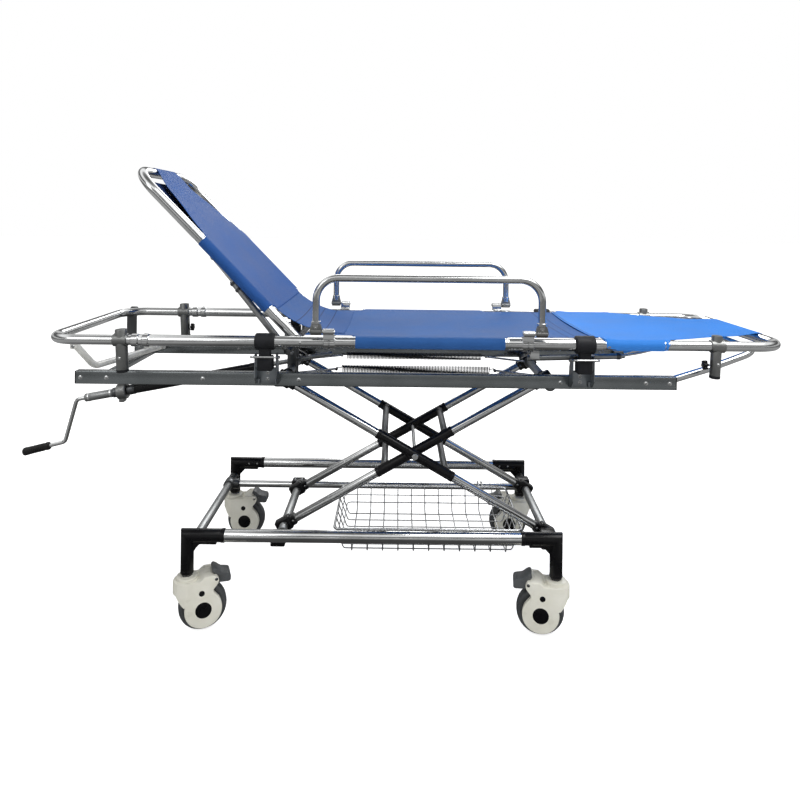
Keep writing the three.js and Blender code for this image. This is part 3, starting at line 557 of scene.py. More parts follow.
def build_chassis():
    for side, sign in SIDES.items():
        y = sign * TRACK
        rail_y = sign * RAIL_Y
        side_tube = Piece().rod((-406.7, y, SIDE_Z), (379.7, y, SIDE_Z), 16, "chrome", sides=40)
        side_tube.build(f"side_tube_{side}", "chrome")
        lower_rail = Piece().rod((-474.7, rail_y, RAIL_Z), (447.7, rail_y, RAIL_Z), 11, "chrome")
        lower_rail.build(f"lower_rail_{side}", "chrome")
        for end, (post_x, end_x) in SLEEVE_ENDS.items():
            inward = 1 if end_x > post_x else -1
            p = Piece()
            mitred_elbow(p, post_x, y, end_x, inward)
            p.ring((end_x - inward * 5, y, SIDE_Z), X, 15, 17.9, 5, "black", 36, 1.2)
            p.ring((post_x, y, 156), Z, 12, 17.2, 5, "black", 36, 1.4)
            web_x = post_x + inward * 14.5
            p.prism([(web_x, 236), (web_x + inward * 26, 236), (web_x, 208)], (y - 5, y + 5), "black", 1.0)
            p.box((web_x, end_x - inward * 22), (y - 7, y + 7), (229, 236), "black", 1.5)
            for along in (22, 50):
                p.screw((end_x - inward * along, y - sign * 16.8, SIDE_Z + 1), (0, -sign, 0), 2.6, "satin", 1.4)
            p.build(f"corner_{end}_{side}", "black")

    p = Piece().rod((HEAD_X, -CROSSBAR_Y, RAIL_Z), (HEAD_X, CROSSBAR_Y, RAIL_Z), CROSSBAR_R, "satin", sides=32)
    for sign in SIGNS:
        y = sign * RAIL_Y
        socket = [(HEAD_X, y - SOCKET_HALF, RAIL_Z), (HEAD_X, y + SOCKET_HALF, RAIL_Z)]
        p.rod(*socket, 18, "dark", sides=32, chamfer=2)
        p.rod((HEAD_X, y, RAIL_Z), (-475, y, RAIL_Z), 16, "dark", sides=32, chamfer=2)
        p.screw((HEAD_X + 6, y - 8, RAIL_Z + 16.5), Z, 3.0)
        p.ring((HEAD_X, sign * 241, RAIL_Z), Y, 12, 15.5, 6, "dark", 32)
    p.build("head_crossbar", "graphite")

    bar_ends = [(FOOT_BAR_X, y, FOOT_BAR_Z) for y in (-CROSSBAR_Y, CROSSBAR_Y)]
    p = Piece().rod(*bar_ends, CROSSBAR_R, "satin", sides=32)
    for sign in SIGNS:
        y = sign * RAIL_Y
        p.box((448, 490), (y - SOCKET_HALF, y + SOCKET_HALF), (191, 238), "black", 5, 3)
        p.screw((448.5, y, 228), (-1, 0, 0), 3.0)
        p.screw((FOOT_BAR_X, y - sign * 18.6, 230), (0, -sign, 0), 3.0)
    p.build("foot_crossbar", "black")


BASKET_FLOOR = v(-102, -134, 149), v(382, 134, 149)
BASKET_RIM = v(-128, -150, 218), v(406, 150, 218)
WIRE_R = 1.8


def build_basket():
    """Wire basket: a heavy rim, two lighter hoops, and U-shaped wires both ways."""
    p = Piece()
    for share, r in ((1.0, 3.4), (0.64, 1.7), (0.32, 1.7)):
        (x0, y0, z), (x1, y1, _) = (low.lerp(high, share) for low, high in zip(BASKET_FLOOR, BASKET_RIM))
        p.loop([v(x0, y0, z), v(x1, y0, z), v(x1, y1, z), v(x0, y1, z)], 14, r, "wire", 10)

    def wire(points, bend):
        p.tube(points, bend, WIRE_R, "wire", 8, 4, 0.3)

    (rim_x0, rim_y0, rim_z), (rim_x1, rim_y1, _) = BASKET_RIM
    (floor_x0, floor_y0, floor_z), (floor_x1, floor_y1, _) = BASKET_FLOOR
    for i in range(11):
        x = -78 + 44 * i
        ends = [(rim_y0 - 2, rim_z), (floor_y0 - 1, floor_z), (floor_y1 + 1, floor_z), (rim_y1 + 2, rim_z)]
        wire([v(x, y, z) for y, z in ends], 9)
    low_z = floor_z - 3.2
    for i in range(6):
        y = -112 + 224 * i / 5
        ends = [(rim_x0 - 2, rim_z), (floor_x0 - 1, low_z), (floor_x1 + 1, low_z), (rim_x1 + 2, rim_z)]
        wire([v(x, y, z) for x, z in ends], 9)
    for x in (-54, 326):
        for sign in SIGNS:
            hook = [(149, 214), (152, 221), (RAIL_Y, 221.4), (201, 221), (201, 205)]
            for shift in (-6, 6):
                wire([v(x + shift, sign * y, z) for y, z in hook], 6)
    p.build("wire_basket", "steel")


# ---------------------------------------------------------------- castors

CASTORS = {
    "head_near": (HEAD_X, -TRACK, 20.0),
    "head_far": (HEAD_X, TRACK, 0.0),
    "foot_near": (FOOT_X, -TRACK, 171.0),
    "foot_far": (FOOT_X, TRACK, 180.0),
}
HUB_X, HUB_Z = 40.5, 62.5
PIN_X, PIN_Z = 73, 139


def castor_hood():
    """Moulded shell over the wheel, with its collar, hub caps and dots, swivelling about the origin."""
    def arc(radius, first, last, step):
        around = [radians(degrees) for degrees in range(first, last, step)]
        return [(HUB_X + radius * cos(a), HUB_Z + radius * sin(a)) for a in around]

    cheek = arc(48, 165, 411, 6)
    cheek += [(66.5, 105), (66, 110), (69, 115.5), (74, 121), (78, 127), (80, 133), (79, 139), (75, 145)]
    cheek += [(62, 148), (44, 147.5), (37, 142), (31, 137), (-3, 137), (-3, 84), (-5.5, 79)]
    web = arc(65, 67, 157, 5)
    web += [(-25, 95), (-30, 104), (-32, 132), (-28, 136)]
    web += [(31, 136), (37, 141.5), (44, 147), (62, 147.5), (66, 147)]
    hood = Piece()
    for sign in SIGNS:
        hood.prism(cheek, (sign * 19.5, sign * 36), "cream", 3.0, 3)
    hood.prism(web, (-20, 20), "cream", 0.4, 1)
    stem = (0, 0, 0), Z
    drum = Piece().lathe([(76, 30), (76, 36), (133, 36), (135.6, 35), (137, 32), (137, 8)], *stem, "cream", 72)
    cavity = Piece().rod((HUB_X, -19.5, HUB_Z), (HUB_X, 19.5, HUB_Z), 65, "cream", sides=72, chamfer=0.1)
    under = [(-60, 104), (-30, 104), (-25, 95), (-19, 86.5), (-12, 78), (-4, 70), (-60, 60)]
    heel = Piece().prism(under, (-60, 60), "cream", 0)
    front = Piece().box((4, 80), (-60, 60), (60, 160), "cream", 0)
    hood.copy_from(carve(drum, [cavity, heel, front]))
    hood.lathe([(110, 4), (112, 30), (133, 31), (137, 30.4), (139, 29)], *stem, "cream", 48)
    hood.lathe([(137, 20), (139, 27.6), (142.5, 28), (145, 26.6), (145.6, 12)], *stem, "cream", 48)
    hood.lathe([(144, 8), (145.2, 15), (146.2, 15), (146.6, 12), (149.2, 12), (149.2, 1)], *stem, "chrome", 6)
    hood.rod((0, 0, 130), (0, 0, 149.2), 9, "chrome", sides=24)
    for sign in SIGNS:
        out = (0, sign, 0)
        hood.ring((HUB_X, sign * 35.6, HUB_Z), out, 21, 24.5, 1.0, "cream", 48, 0.6)
        cap = [(-2, 21.8), (0.0, 21.8), (0.5, 20.8), (0.7, 0.1)]
        hood.lathe(cap, (HUB_X, sign * 35.8, HUB_Z), out, "black", 48)
        hood.lathe([(-1, 7.8), (0.1, 7.8), (0.5, 6.8), (0.5, 0.1)], (36, sign * 35.8, 107), out, "black", 32)
        hood.rod((PIN_X, sign * 34.5, PIN_Z), (PIN_X, sign * 36.8, PIN_Z), 4.4, "chrome", sides=20, chamfer=1.2)
    hood.rod((HUB_X, -34, HUB_Z), (HUB_X, 34, HUB_Z), 5, "satin", sides=16)
    hood.rod((PIN_X, -24.5, PIN_Z), (PIN_X, 24.5, PIN_Z), 3, "chrome", sides=12)
    return hood


def castor_wheel():
    """Tyre and core, each from one half of its profile of (across, radius), and with a flat at the bottom."""
    tyre = [(14.5, 44), (15.5, 47), (17, 53), (16.4, 58), (13, 61.2), (7, 62.4)]
    core = [(14, 6), (14, 12), (9, 16), (8.5, 34), (13, 40), (13.5, 44.5)]
    wheel = Piece()
    for half, crown, sides, mat in ((tyre, [(0, 62.5)], 72, "tyre"), (core, [], 48, "hub")):
        profile = [*((-t, r) for t, r in half), *crown, *half[::-1]]
        around = turns(sides, 0.5)
        rings = [[v(HUB_X + r * cos(a), t, HUB_Z + r * sin(a)) for a in around] for t, r in profile]
        wheel.rings(rings, mat, closed=True)
    return wheel


def castor_pedal():
    outline = [
        (67.8, 146), (69.5, 138), (71.2, 130), (76, 122.2), (90, 121.2), (105, 120.6), (110, 121.8), (112, 125),
        (112.2, 134), (111, 139.5), (108, 143.2), (98, 145.6), (88, 147.6), (83, 151), (77, 156), (70, 160),
        (66, 159.8), (63.5, 157.5), (62.8, 153), (64, 150.4), (67.2, 149.4),
    ]
    p = Piece().prism(outline, (-21.8, 21.8), "pedal", 1.6, 3)
    for k in range(4):
        x = 91 + 4.6 * k
        top = 147.0 - 0.19 * (x - 88)
        p.box((x, x + 2), (-18, 18), (top - 1.2, top + 1.1), "pedal", 0.4)
    return p


def build_castors():
    hood, wheel, pedal = castor_hood(), castor_wheel(), castor_pedal()
    for place, (x, y, angle) in CASTORS.items():
        put = Matrix.Translation((x, y, 0)) @ Matrix.Rotation(radians(angle), 4, "Z")
        Piece().copy_from(hood, put).build(f"castor_hood_{place}", "cream")
        Piece().copy_from(wheel, put).build(f"castor_wheel_{place}", "tyre")
        Piece().copy_from(pedal, put).build(f"castor_pedal_{place}", "graphite")


# ---------------------------------------------------------------- scissor lift

LEFT_X, RIGHT_X, LOW_Z, HIGH_Z = -272, 470, 218, 642
SLEEVE_HALF = 124.5
OUTER_Y, INNER_Y = 152, 123.5
NUT_LOW, NUT_HIGH = 612, 708
SPRING_X, SPRING_Y, SPRING_Z = (-118, 318), 96, 659


def build_arm(name, low_x, high_x, y, tie_end=None, axle=False):
    """One bar of the scissor: bright tube, ribbed black sleeve at the crossing, black block at each pivot."""
    low, high = v(low_x, y, LOW_Z), v(high_x, y, HIGH_Z)
    along = (high - low).normalized()
    middle = (low + high) / 2
    turn = Matrix.Rotation(-atan2(along.z, along.x), 4, "Y")
    p = Piece().rod(low + along * 22, high - along * 22, 12, "chrome", sides=32)
    p.rod(middle - along * SLEEVE_HALF, middle + along * SLEEVE_HALF, 13.5, "black", sides=32, chamfer=1.2)
    for end in SIGNS:
        p.ring(middle + along * end * (SLEEVE_HALF - 5), along, 12, 14.2, 5, "black", 32, 1.0)
        for step in (26, 34):
            p.ring(middle + along * end * step, along, 12.5, 14.2, 2, "black", 32, 0.8)
    across = along.cross(v(*Y))
    for rib in SIGNS:
        root, reach = middle + across * rib * 13.4, along * 112
        p.tube([root - reach, root + reach], 1, 1.0, "black", 8, 1, 0.3)
    for centre, inward in ((low, 1), (high, -1)):
        block = Matrix.Translation(centre) @ turn
        p.box((-22.5, 22.5), (-13.8, 13.8), (-18.8, 18.8), "black", 4.5, 3, block)
        p.box((18 * inward, 38 * inward), (-13.4, 13.4), (-13.6, 13.6), "black", 3.5, 3, block)
        for sign in SIGNS:
            p.screw(block @ v(30 * inward, sign * 13.5, 0), (0, sign, 0), 2.6, "satin", 1.4)
    if tie_end:
        for side in SIGNS:
            root = middle + along * side * 100
            tie = v(root.x, tie_end, root.z)
            p.rod(root, tie, 10, "dark")
            p.rod(root, root + v(0, 24, 0), 12.5, "black", chamfer=1.5)
            p.rod(tie - v(0, 10, 0), tie, 12.0, "black", chamfer=1.5)
    if axle:
        middle.y = 0
        p.rod(middle - v(0, 168, 0), middle + v(0, 168, 0), 5, "satin", sides=20)
        for sign, root, sides in ((-1, 163, 32), (1, 166, 6)):
            head = [(root, 8.6), (168, 8.8), (169, 8.0), (169, 6.5), (173, 6.2), (173, 0.1)]
            p.lathe(head, middle, (0, sign, 0), "chrome", sides)
    p.build(name, "chrome")


def build_lift():
    build_arm("outer_arm_near", RIGHT_X, LEFT_X, -OUTER_Y, 138.2, True)
    build_arm("outer_arm_far", RIGHT_X, LEFT_X, OUTER_Y)
    build_arm("inner_arm_near", LEFT_X, RIGHT_X, -INNER_Y, 109.7)
    build_arm("inner_arm_far", LEFT_X, RIGHT_X, INNER_Y)

    p = Piece().rod((LEFT_X, -172, LOW_Z), (LEFT_X, 172, LOW_Z), 12.5, "satin", sides=32)
    for sign in SIGNS:
        block = Piece().box((LEFT_X - 26, LEFT_X + 14), (sign * 168, sign * 206), (192, 225), "black", 3.5, 3)
        y = sign * RAIL_Y
        bore = Piece().rod((LEFT_X - 60, y, RAIL_Z), (LEFT_X + 60, y, RAIL_Z), 11.6, "black", sides=40)
        p.copy_from(carve(block, [bore]))
        for dx in (-17, 5):
            p.screw((LEFT_X + dx, y, 224.6), Z, 3.0)
    p.build("lower_slider", "graphite")

    p = Piece()
    for sign in SIGNS:
        p.rod((LEFT_X, sign * 14.4, HIGH_Z), (LEFT_X, sign * 190, HIGH_Z), 12.5, "satin", sides=32)
        p.box((LEFT_X - 22, LEFT_X + 22), (sign * 171, sign * 193), (628.5, 655.5), "black", 3.5, 3)
        spring_link(p, LEFT_X, SPRING_X[0] - 12, sign)
        p.box((LEFT_X - 14, LEFT_X + 14), (sign * 14.2, sign * 23), (NUT_LOW, NUT_HIGH), "dark", 2, 2)
    for z in ((NUT_LOW, NUT_LOW + 5.8), (NUT_HIGH - 5.8, NUT_HIGH)):
        p.box((LEFT_X - 14, LEFT_X + 14), (-23, 23), z, "dark", 2, 2)
    for z in (632, 690):
        p.screw((LEFT_X, -23, z), (0, -1, 0), 4)
    p.build("upper_carriage", "graphite")


def spring_link(p, tube_x, end_x, sign):
    """Bent rod from a collar on a cross tube to a spring's eye."""
    y, z = sign * SPRING_Y, SPRING_Z
    p.ring((tube_x, y, HIGH_Z), Y, 12.2, 17.4, 3, "dark", 32)
    step = 1 if end_x > tube_x else -1
    arm = [v(tube_x + step * 14, y, HIGH_Z + 3), v(end_x, y, z), v(end_x, y + sign * 8, z)]
    p.tube(arm, 3.0, 3.0, "wire", 10, 5, 0.5)
    p.tube([v(end_x, y - sign * 4, z), v(end_x, y + sign * 8, z)], 1, 4.2, "satin", 16, 1, 0.8)


def build_spring(side, sign):
    """Close-wound tension spring with an eye at each end."""
    y, z, (x0, x1), coil, wire = sign * SPRING_Y, SPRING_Z, SPRING_X, 10.3, 1.45
    per_turn = 12
    steps = 96 * per_turn
    eye = [(11, -4.6), (14, 3), (9, 5), (-2, 3)]
    path = [v(x0 - dx, y, z + dz) for dx, dz in eye]
    for i in range(steps + 1):
        a = tau * i / per_turn
        path.append(v(x0 + 4 + (x1 - x0 - 8) * i / steps, y + coil * sin(a), z + coil * cos(a)))
    path += [v(x1 + dx, y, z + dz) for dx, dz in eye[::-1]]
    Piece().sweep(path, [wire] * len(path), "spring", 6).build(f"spring_{side}", "steel")


# ---------------------------------------------------------------- deck

SCREW_SLOPE = radians(10.85)
SCREW_ALONG = v(cos(SCREW_SLOPE), 0, sin(SCREW_SLOPE))
DECK_IN, DECK_OUT, DECK_LOW, DECK_HIGH = 195, 220, 638, 673.5
DECK_MID = 656
CROSS_END = DECK_IN - 0.3
RAIL_SCREWS = (-818, -747, -484, -222, 492, 725, 790)


def on_screw(along):
    return v(-791, 0, 562) + SCREW_ALONG * along


def build_deck():
    for side, sign in SIDES.items():
        p = Piece().box((-831.5, 807.5), (sign * DECK_IN, sign * DECK_OUT), (DECK_LOW, DECK_HIGH), "rail", 2.0, 3)
        inner, outer = sign * (DECK_IN + 0.2), sign * (DECK_OUT - 0.2)
        for cap in ((-834, -830), (810, 806)):
            p.box(cap, (inner, outer), (DECK_LOW + 0.2, DECK_HIGH - 0.2), "black", 1.2, 2)
        for x in RAIL_SCREWS:
            p.screw((x, outer, DECK_MID), (0, sign, 0), 4.6)
            p.screw((x, inner, DECK_MID), (0, -sign, 0), 3.6, "satin", 1.0)
        p.build(f"deck_rail_{side}", "graphite")
        build_spring(side, sign)

    p = Piece().rod((RIGHT_X, -CROSS_END, HIGH_Z), (RIGHT_X, CROSS_END, HIGH_Z), 12.5, "satin", sides=32)
    for sign in SIGNS:
        spring_link(p, RIGHT_X, SPRING_X[1] + 12, sign)
        p.ring((RIGHT_X, sign * 189, HIGH_Z), Y, 12.2, 17.3, 5.4, "dark", 32)
    p.build("deck_foot_cross", "graphite")

    p = Piece().box((-788, -763), (-CROSS_END, CROSS_END), (DECK_LOW, 654), "rail", 1.5, 2)
    p.box((-803, -779), (-15, 15), (566, 648), "cast", 4, 3)
    p.lathe([(-14, 9), (-14, 22), (-12, 24), (12, 24), (14, 22), (14, 9)], on_screw(0), SCREW_ALONG, "cast", 40)
    p.box((-799, -783), (-12, 12), (530, 560), "cast", 3, 3)
    for z in (628, 606):
        p.screw((-791, -15, z), (0, -1, 0), 4)
    p.build("deck_head_cross", "graphite")

    p = Piece().rod(on_screw(16), on_screw(413), 14, "black", sides=36, chamfer=2)
    p.rod(on_screw(16), on_screw(40), 15.2, "dark", sides=36, chamfer=1.5)
    p.ring(on_screw(404), SCREW_ALONG, 8, 14.8, 8, "black", 36)
    p.rod(on_screw(408), on_screw(652), 6.4, "satin", sides=24)
    pitch, coils, around = 5.0, 46, spokes(SCREW_ALONG, 12)
    thread = [on_screw(416 + pitch * (i + k / 12)) + around[k] * 6.6 for i in range(coils) for k in range(12)]
    p.sweep(thread, [1.3] * len(thread), "satin", 5)
    p.build("lead_screw", "black")

    p = Piece().tube([v(-738, 181, 664), v(-811, -150, 672), v(-845, -190, 737)], 34, 9.5, "white", 24, 14)
    p.box((-797, -728), (186.5, 194.6), (655, 673), "white", 2.5, 3)
    p.box((-797, -728), (179, 188), (659, 670), "white", 3, 3)
    for x in (-786, -745):
        p.screw((x, 186.3, 664), (0, -1, 0), 3.6)
    p.box((-856, -838), (-204, -184), (728, 745), "white", 4, 3)
    p.screw((-847, -204, 737), (0, -1, 0), 4)
    p.build("deck_head_brace", "cream")

    side = [(800, 655), (905, 688), (1045, 741)]
    hoop = [v(x, -184, z) for x, z in side] + [v(x, 184, z) for x, z in side[::-1]]
    p = Piece().tube(hoop, 40, 9.8, "chrome", 24, 12)
    for sign in SIGNS:
        p.box((768, 806), (sign * 181, sign * 194.6), (645, 667), "rail", 2, 2)
        p.screw((780, sign * 181, DECK_MID), (0, -sign, 0), 3.2)
    p.build("deck_foot_hoop", "chrome")


BAIL_PIN = (-245, 722)
LITTER_Y, LITTER_Z = 265, 768


def clamp_bracket(x):
    """Folded plate screwed to the rail, with two ears that carry the bail."""
    p = Piece().box((x - 30, x + 30), (-223.3, -220.3), (645, 690), "plate", 0.7)
    for sign in SIGNS:
        outline = [(-222, 645), (-238, 648), (-258, 668), (-258, 728), (-252, 734), (-238, 734), (-222, 700)]
        turn = Matrix.Translation((x + sign * 28.5, 0, 0)) @ Matrix.Rotation(radians(90), 4, "Z")
        p.prism(outline, (-1.5, 1.5), "plate", 0.5, 1, turn)
        p.screw((x + sign * 30, *BAIL_PIN), (sign, 0, 0), 3.0, "chrome", 0.8)
        p.box((x + sign * 21, x + sign * 29), (-230, -222), (645, 660), "plate", 0.8)
    for z in (658, 674):
        p.screw((x, -223.3, z), (0, -1, 0), 3.8)
    return p


def clamp_bail(x):
    """Wire bail that swings on the bracket's two pins and holds the saddle down."""
    y, z = BAIL_PIN
    corners = [v(x - 34, y, z), v(x - 34, -289, 731), v(x + 34, -289, 731), v(x + 34, y, z)]
    p = Piece().tube(corners, 9, 3.0, "chrome", 14, 8)
    for sign in SIGNS:
        p.rod((x + sign * 30.3, y, z), (x + sign * 36.4, y, z), 4, "chrome", sides=20)
    return p


def saddle(x, tube_r):
    """Rubber band round the litter tube, on a block that drops into the clamp."""
    p = Piece()
    outer = tube_r + 7.0
    p.ring((x, -LITTER_Y, LITTER_Z), X, tube_r + 0.2, outer, 26, "rubber", 48, 3.0)
    for shift in (-15, 0, 15):
        p.ring((x + shift, -LITTER_Y, LITTER_Z), X, tube_r + 1, outer + 0.2, 2.5, "rubber", 48, 1.0)
    p.box((x - 15, x + 15), (-277, -253), (724, 752), "rubber", 3, 3)
    p.box((x - 20, x + 20), (-273, -239), (690, 728), "rubber", 4, 3)
    return p


# ---------------------------------------------------------------- crank


CRANK_WRIST, CRANK_TIP = v(-966, 0, 405), v(-1086, 0, 374)


def build_crank():
    p = Piece().rod(on_screw(-14.4), on_screw(-30), 15, "dark", sides=32, chamfer=2.5)
    p.rod(on_screw(-28), on_screw(-116), 12.3, "satin", sides=32, chamfer=2)
    for at in (-36, -104):
        p.ring(on_screw(at), SCREW_ALONG, 11, 13.2, 3, "chrome", 32)
    p.tube([on_screw(-112), on_screw(-143), CRANK_WRIST, CRANK_TIP], 16, 6, "chrome", 20, 10)
    p.lathe([(-118, 6), (-114, 11.6), (-112, 12)], on_screw(0), SCREW_ALONG, "chrome", 32)
    p.build("crank", "chrome")
    axis = (CRANK_TIP - CRANK_WRIST).normalized()
    base = CRANK_WRIST + axis * 47.5
    shape = [(0, 6.8), (0.4, 10.2), (3, 11.8), (8, 12.2), (13, 11.2), (30, 10.8)]
    shape += [(52, 11.3), (72, 12.3), (79, 12.1), (82, 10.0), (82.6, 3)]
    p = Piece().lathe(shape, base, axis, "grip", 36)
    for k in range(9):
        p.ring(base + axis * (20 + 5.5 * k), axis, 10, 11.8, 1.1, "grip", 36, 0.6)
    p.build("crank_grip", "rubber")


# ---------------------------------------------------------------- litter

CLAMPS = {"head": (-306, 15), "foot": (544, 17)}
END_BEND, LOOP_R = 75, 13.5
HEAD_LOOP_X, FOOT_LOOP_X = -890, 1081.5
GUARD_X, GUARD_Y, GUARD_Z = (-168, 424), 293, 800
GUARD_R = 9.9


def litter_foot(p, x, sign, lean, r):
    """Cast post that stands the litter on the ground, saddled on its tube."""
    y = sign * LITTER_Y
    low, high = v(x + lean, y, 682), v(x, y, 797)
    axis = (high - low).normalized()
    p.rod(low, high, r - 0.4, "cast", sides=32, chamfer=2.5)
    p.ring(low + axis * 5, axis, r - 4, r, 4, "rubber", 32)
    p.ring(v(x, y, LITTER_Z), X, 13, 17.4, 19, "cast", 36, 2.0)
    p.lathe([(-1.0, r - 1), (1.6, r - 1.4), (2.4, r - 4), (2.4, 0.1)], high - axis * 2.2, axis, "cast", 32)
    p.screw(v(x + lean * 0.4, y + sign * (r - 0.8), 722), (0, sign, 0), 3.2)


def star_knob(p, at, out):
    """Six-lobed knob on a threaded stud."""
    at, out = Vector(at), Vector(out).normalized()
    p.rod(at, at + out * 8, 4, "chrome", sides=12)
    p.rod(at + out * 6, at + out * 17, 9, "black", sides=24, chamfer=2)
    for spoke in spokes(out, 6):
        lobe = at + spoke * 9
        p.rod(lobe + out * 6, lobe + out * 16, 4.2, "black", sides=14, chamfer=1.5)


def guard_clamp(p, x, sign, barrel_x):
    """Split clamp on the litter tube, with the pin that the guard rail folds on."""
    y, pin_y = sign * LITTER_Y, sign * GUARD_Y
    for shift in (-8, 8):
        p.ring((x + shift, y, LITTER_Z), X, 14.6, 20.2, 7.2, "chrome", 36, 1.4)
    p.box((x - 15, x + 15), (sign * 273, sign * 287), (777, 805), "chrome", 2, 2)
    p.ring((x, pin_y, GUARD_Z), X, 3.9, 7.6, 15, "chrome", 24, 1.0)
    low, high = sorted((x, barrel_x))
    p.rod((low - 17, pin_y, GUARD_Z), (high + 17, pin_y, GUARD_Z), 4, "chrome", sides=20)
    p.screw((x, y, LITTER_Z - 19), (0, 0, -1), 4)
    p.screw((x, sign * 284, 779), (0, sign, 0), 3.6)


def end_loop(p, start_x, end_x):
    """Tube that joins the two sides of the litter round one end."""
    corners = [(start_x, -1), (end_x, -1), (end_x, 1), (start_x, 1)]
    p.tube([v(x, sign * LITTER_Y, LITTER_Z) for x, sign in corners], END_BEND, LOOP_R, "chrome", 28, 16)


def build_litter():
    p = Piece()
    for sign in SIGNS:
        y = sign * LITTER_Y
        p.rod((-640, y, LITTER_Z), (350, y, LITTER_Z), 15, "chrome", sides=36)
        p.rod((342, y, LITTER_Z), (589, y, LITTER_Z), 17, "chrome", sides=36, chamfer=1.5)
        p.rod((585, y, LITTER_Z), (597, y, LITTER_Z), 16.6, "chrome", r2=13.8, sides=36)
        litter_foot(p, 896, sign, -6, 14)
        guard_clamp(p, -135, sign, GUARD_X[0])
        guard_clamp(p, 391, sign, GUARD_X[1])
        p.ring((-622, y, LITTER_Z), X, 14.5, 17.6, 8, "chrome", 36)
        p.screw((-622, y, LITTER_Z + 17.4), Z, 3)
        p.screw((-212, y + sign * 14.8, LITTER_Z), (0, sign, 0), 3.4)
        p.tube([v(400, sign * 222, 722), v(655, sign * 226, 731)], 5, 7.6, "satin", 20, 2, 1.0)
        p.tube([v(652, sign * 226, 731), v(700, sign * 232, 741), v(752, sign * 243, 757)], 30, 3.0, "wire", 12, 6)
        p.box((404, 428), (sign * 218, sign * 250), (724, 758), "chrome", 2.5, 2)
        p.ring((646, sign * 226, 731), (1, 0.01, 0.03), 7, 9.2, 5, "dark", 24)
    end_loop(p, 592, FOOT_LOOP_X)
    star_knob(p, (875, -LITTER_Y, 718), (-1, 0, 0))
    p.build("litter_frame", "chrome")

    p = Piece()
    end_loop(p, -640.4, HEAD_LOOP_X)
    for sign in SIGNS:
        p.ring((-650.5, sign * LITTER_Y, LITTER_Z), X, 13, 17.2, 9.5, "chrome", 36, 1.5)
        litter_foot(p, -690, sign, 6, 16)
    star_knob(p, (-672, LITTER_Y, 716), X)
    p.prism([(-880, 690), (-847, 690), (-847, 766), (-880, 766)], (244, 251), "dark", 1.5)
    p.ring((-863, LITTER_Y, LITTER_Z), X, 13, 17, 10, "dark", 32)
    p.build("litter_head_loop", "chrome")

    for end, (x, tube_r) in CLAMPS.items():
        build_pair(f"clamp_bracket_{end}", clamp_bracket(x), "steel")
        build_pair(f"bail_{end}", clamp_bail(x), "chrome")
        build_pair(f"saddle_{end}", saddle(x, tube_r), "rubber")


# ---------------------------------------------------------------- backrest and guard rails

HINGE_X, BACK_LENGTH, BACK_Y, BACK_R = -227, 639, 225, 14
STRUT_Y, STRUT_N = 198, -48
BACK_ANGLE = radians(45.5)
BACK_ALONG = v(-cos(BACK_ANGLE), 0, sin(BACK_ANGLE))
BACK_UP = v(sin(BACK_ANGLE), 0, cos(BACK_ANGLE))


def on_back(u, y, n=0.0):
    """Point at u along the backrest, across at y, and n above its plane."""
    return v(HINGE_X, y, LITTER_Z) + BACK_ALONG * u + BACK_UP * n


def build_backrest():
    corners = [(0, -BACK_Y), (BACK_LENGTH, -BACK_Y), (BACK_LENGTH, BACK_Y), (0, BACK_Y)]
    p = Piece().tube([on_back(*corner) for corner in corners], 85, BACK_R, "chrome", 32, 18)
    for sign in SIGNS:
        p.rod(on_back(0, sign * 212), on_back(0, sign * 249), 13, "chrome", sides=32, chamfer=1.5)
        p.ring(on_back(0, sign * 243), Y, 6, 15, 5, "cast", 32)
        y = sign * STRUT_Y
        p.rod(on_back(-7, y, STRUT_N), on_back(240, y, -24), 9, "satin", chamfer=1.5)
        for u in (232, 210):
            p.ring(on_back(u, y, -24.6 - (240 - u) * 0.077), BACK_ALONG, 8.5, 10.8, 4, "dark", 28)
        p.rod(on_back(236, y, -24.3), on_back(335, y, -17), 5, "chrome", sides=20)
        p.rod(on_back(322, y, -18), on_back(322, sign * BACK_Y, -4), 7.6, "cast", sides=24, chamfer=1.5)
        p.screw(on_back(322, sign * 207, -20), -BACK_UP, 3)
    p.rod(on_back(-7, -207, STRUT_N), on_back(-7, 207, STRUT_N), 9.6, "dark", chamfer=1.5)
    p.build("backrest_frame", "chrome")


def guard_rail():
    """Hoop that folds about its lower pins, with a cast foot on each leg."""
    y, (head_x, foot_x) = -GUARD_Y, GUARD_X
    corners = [(head_x, 812), (head_x, 941), (foot_x, 941), (foot_x, 812)]
    p = Piece().tube([v(x, y, z) for x, z in corners], 58, GUARD_R, "chrome", 28, 14)
    for x in GUARD_X:
        foot = [(x - 16, 801), (x + 16, 801), (x + 16, 806), (x + 11, 824), (x - 11, 824), (x - 16, 806)]
        p.prism(foot, (y - 7.6, y + 7.6), "cast", 2.0, 2)
        p.ring((x, y, 824), Z, 9.5, 12.6, 4.5, "chrome", 32, 1.2)
        p.ring((x, y, GUARD_Z), X, 4.6, 9, 14.8, "cast", 32, 1.5)
        p.screw((x, y - 8, 811), (0, -1, 0), 2.8)
    return p


# ---------------------------------------------------------------- cloth

CLOTH_THICK = 1.1
SEAT_SPAN, SEAT_SAG = (-204, 588), 9
FOOT_START, FOOT_SAG = 572, 7
BACK_START, BACK_SAG = 96, 8
HIP_START, HIP_HALF, HIP_END = -100, 206, 116
SEAT_WRAP, FOOT_WRAP, BACK_WRAP = 15.9, 14.6, 14.9


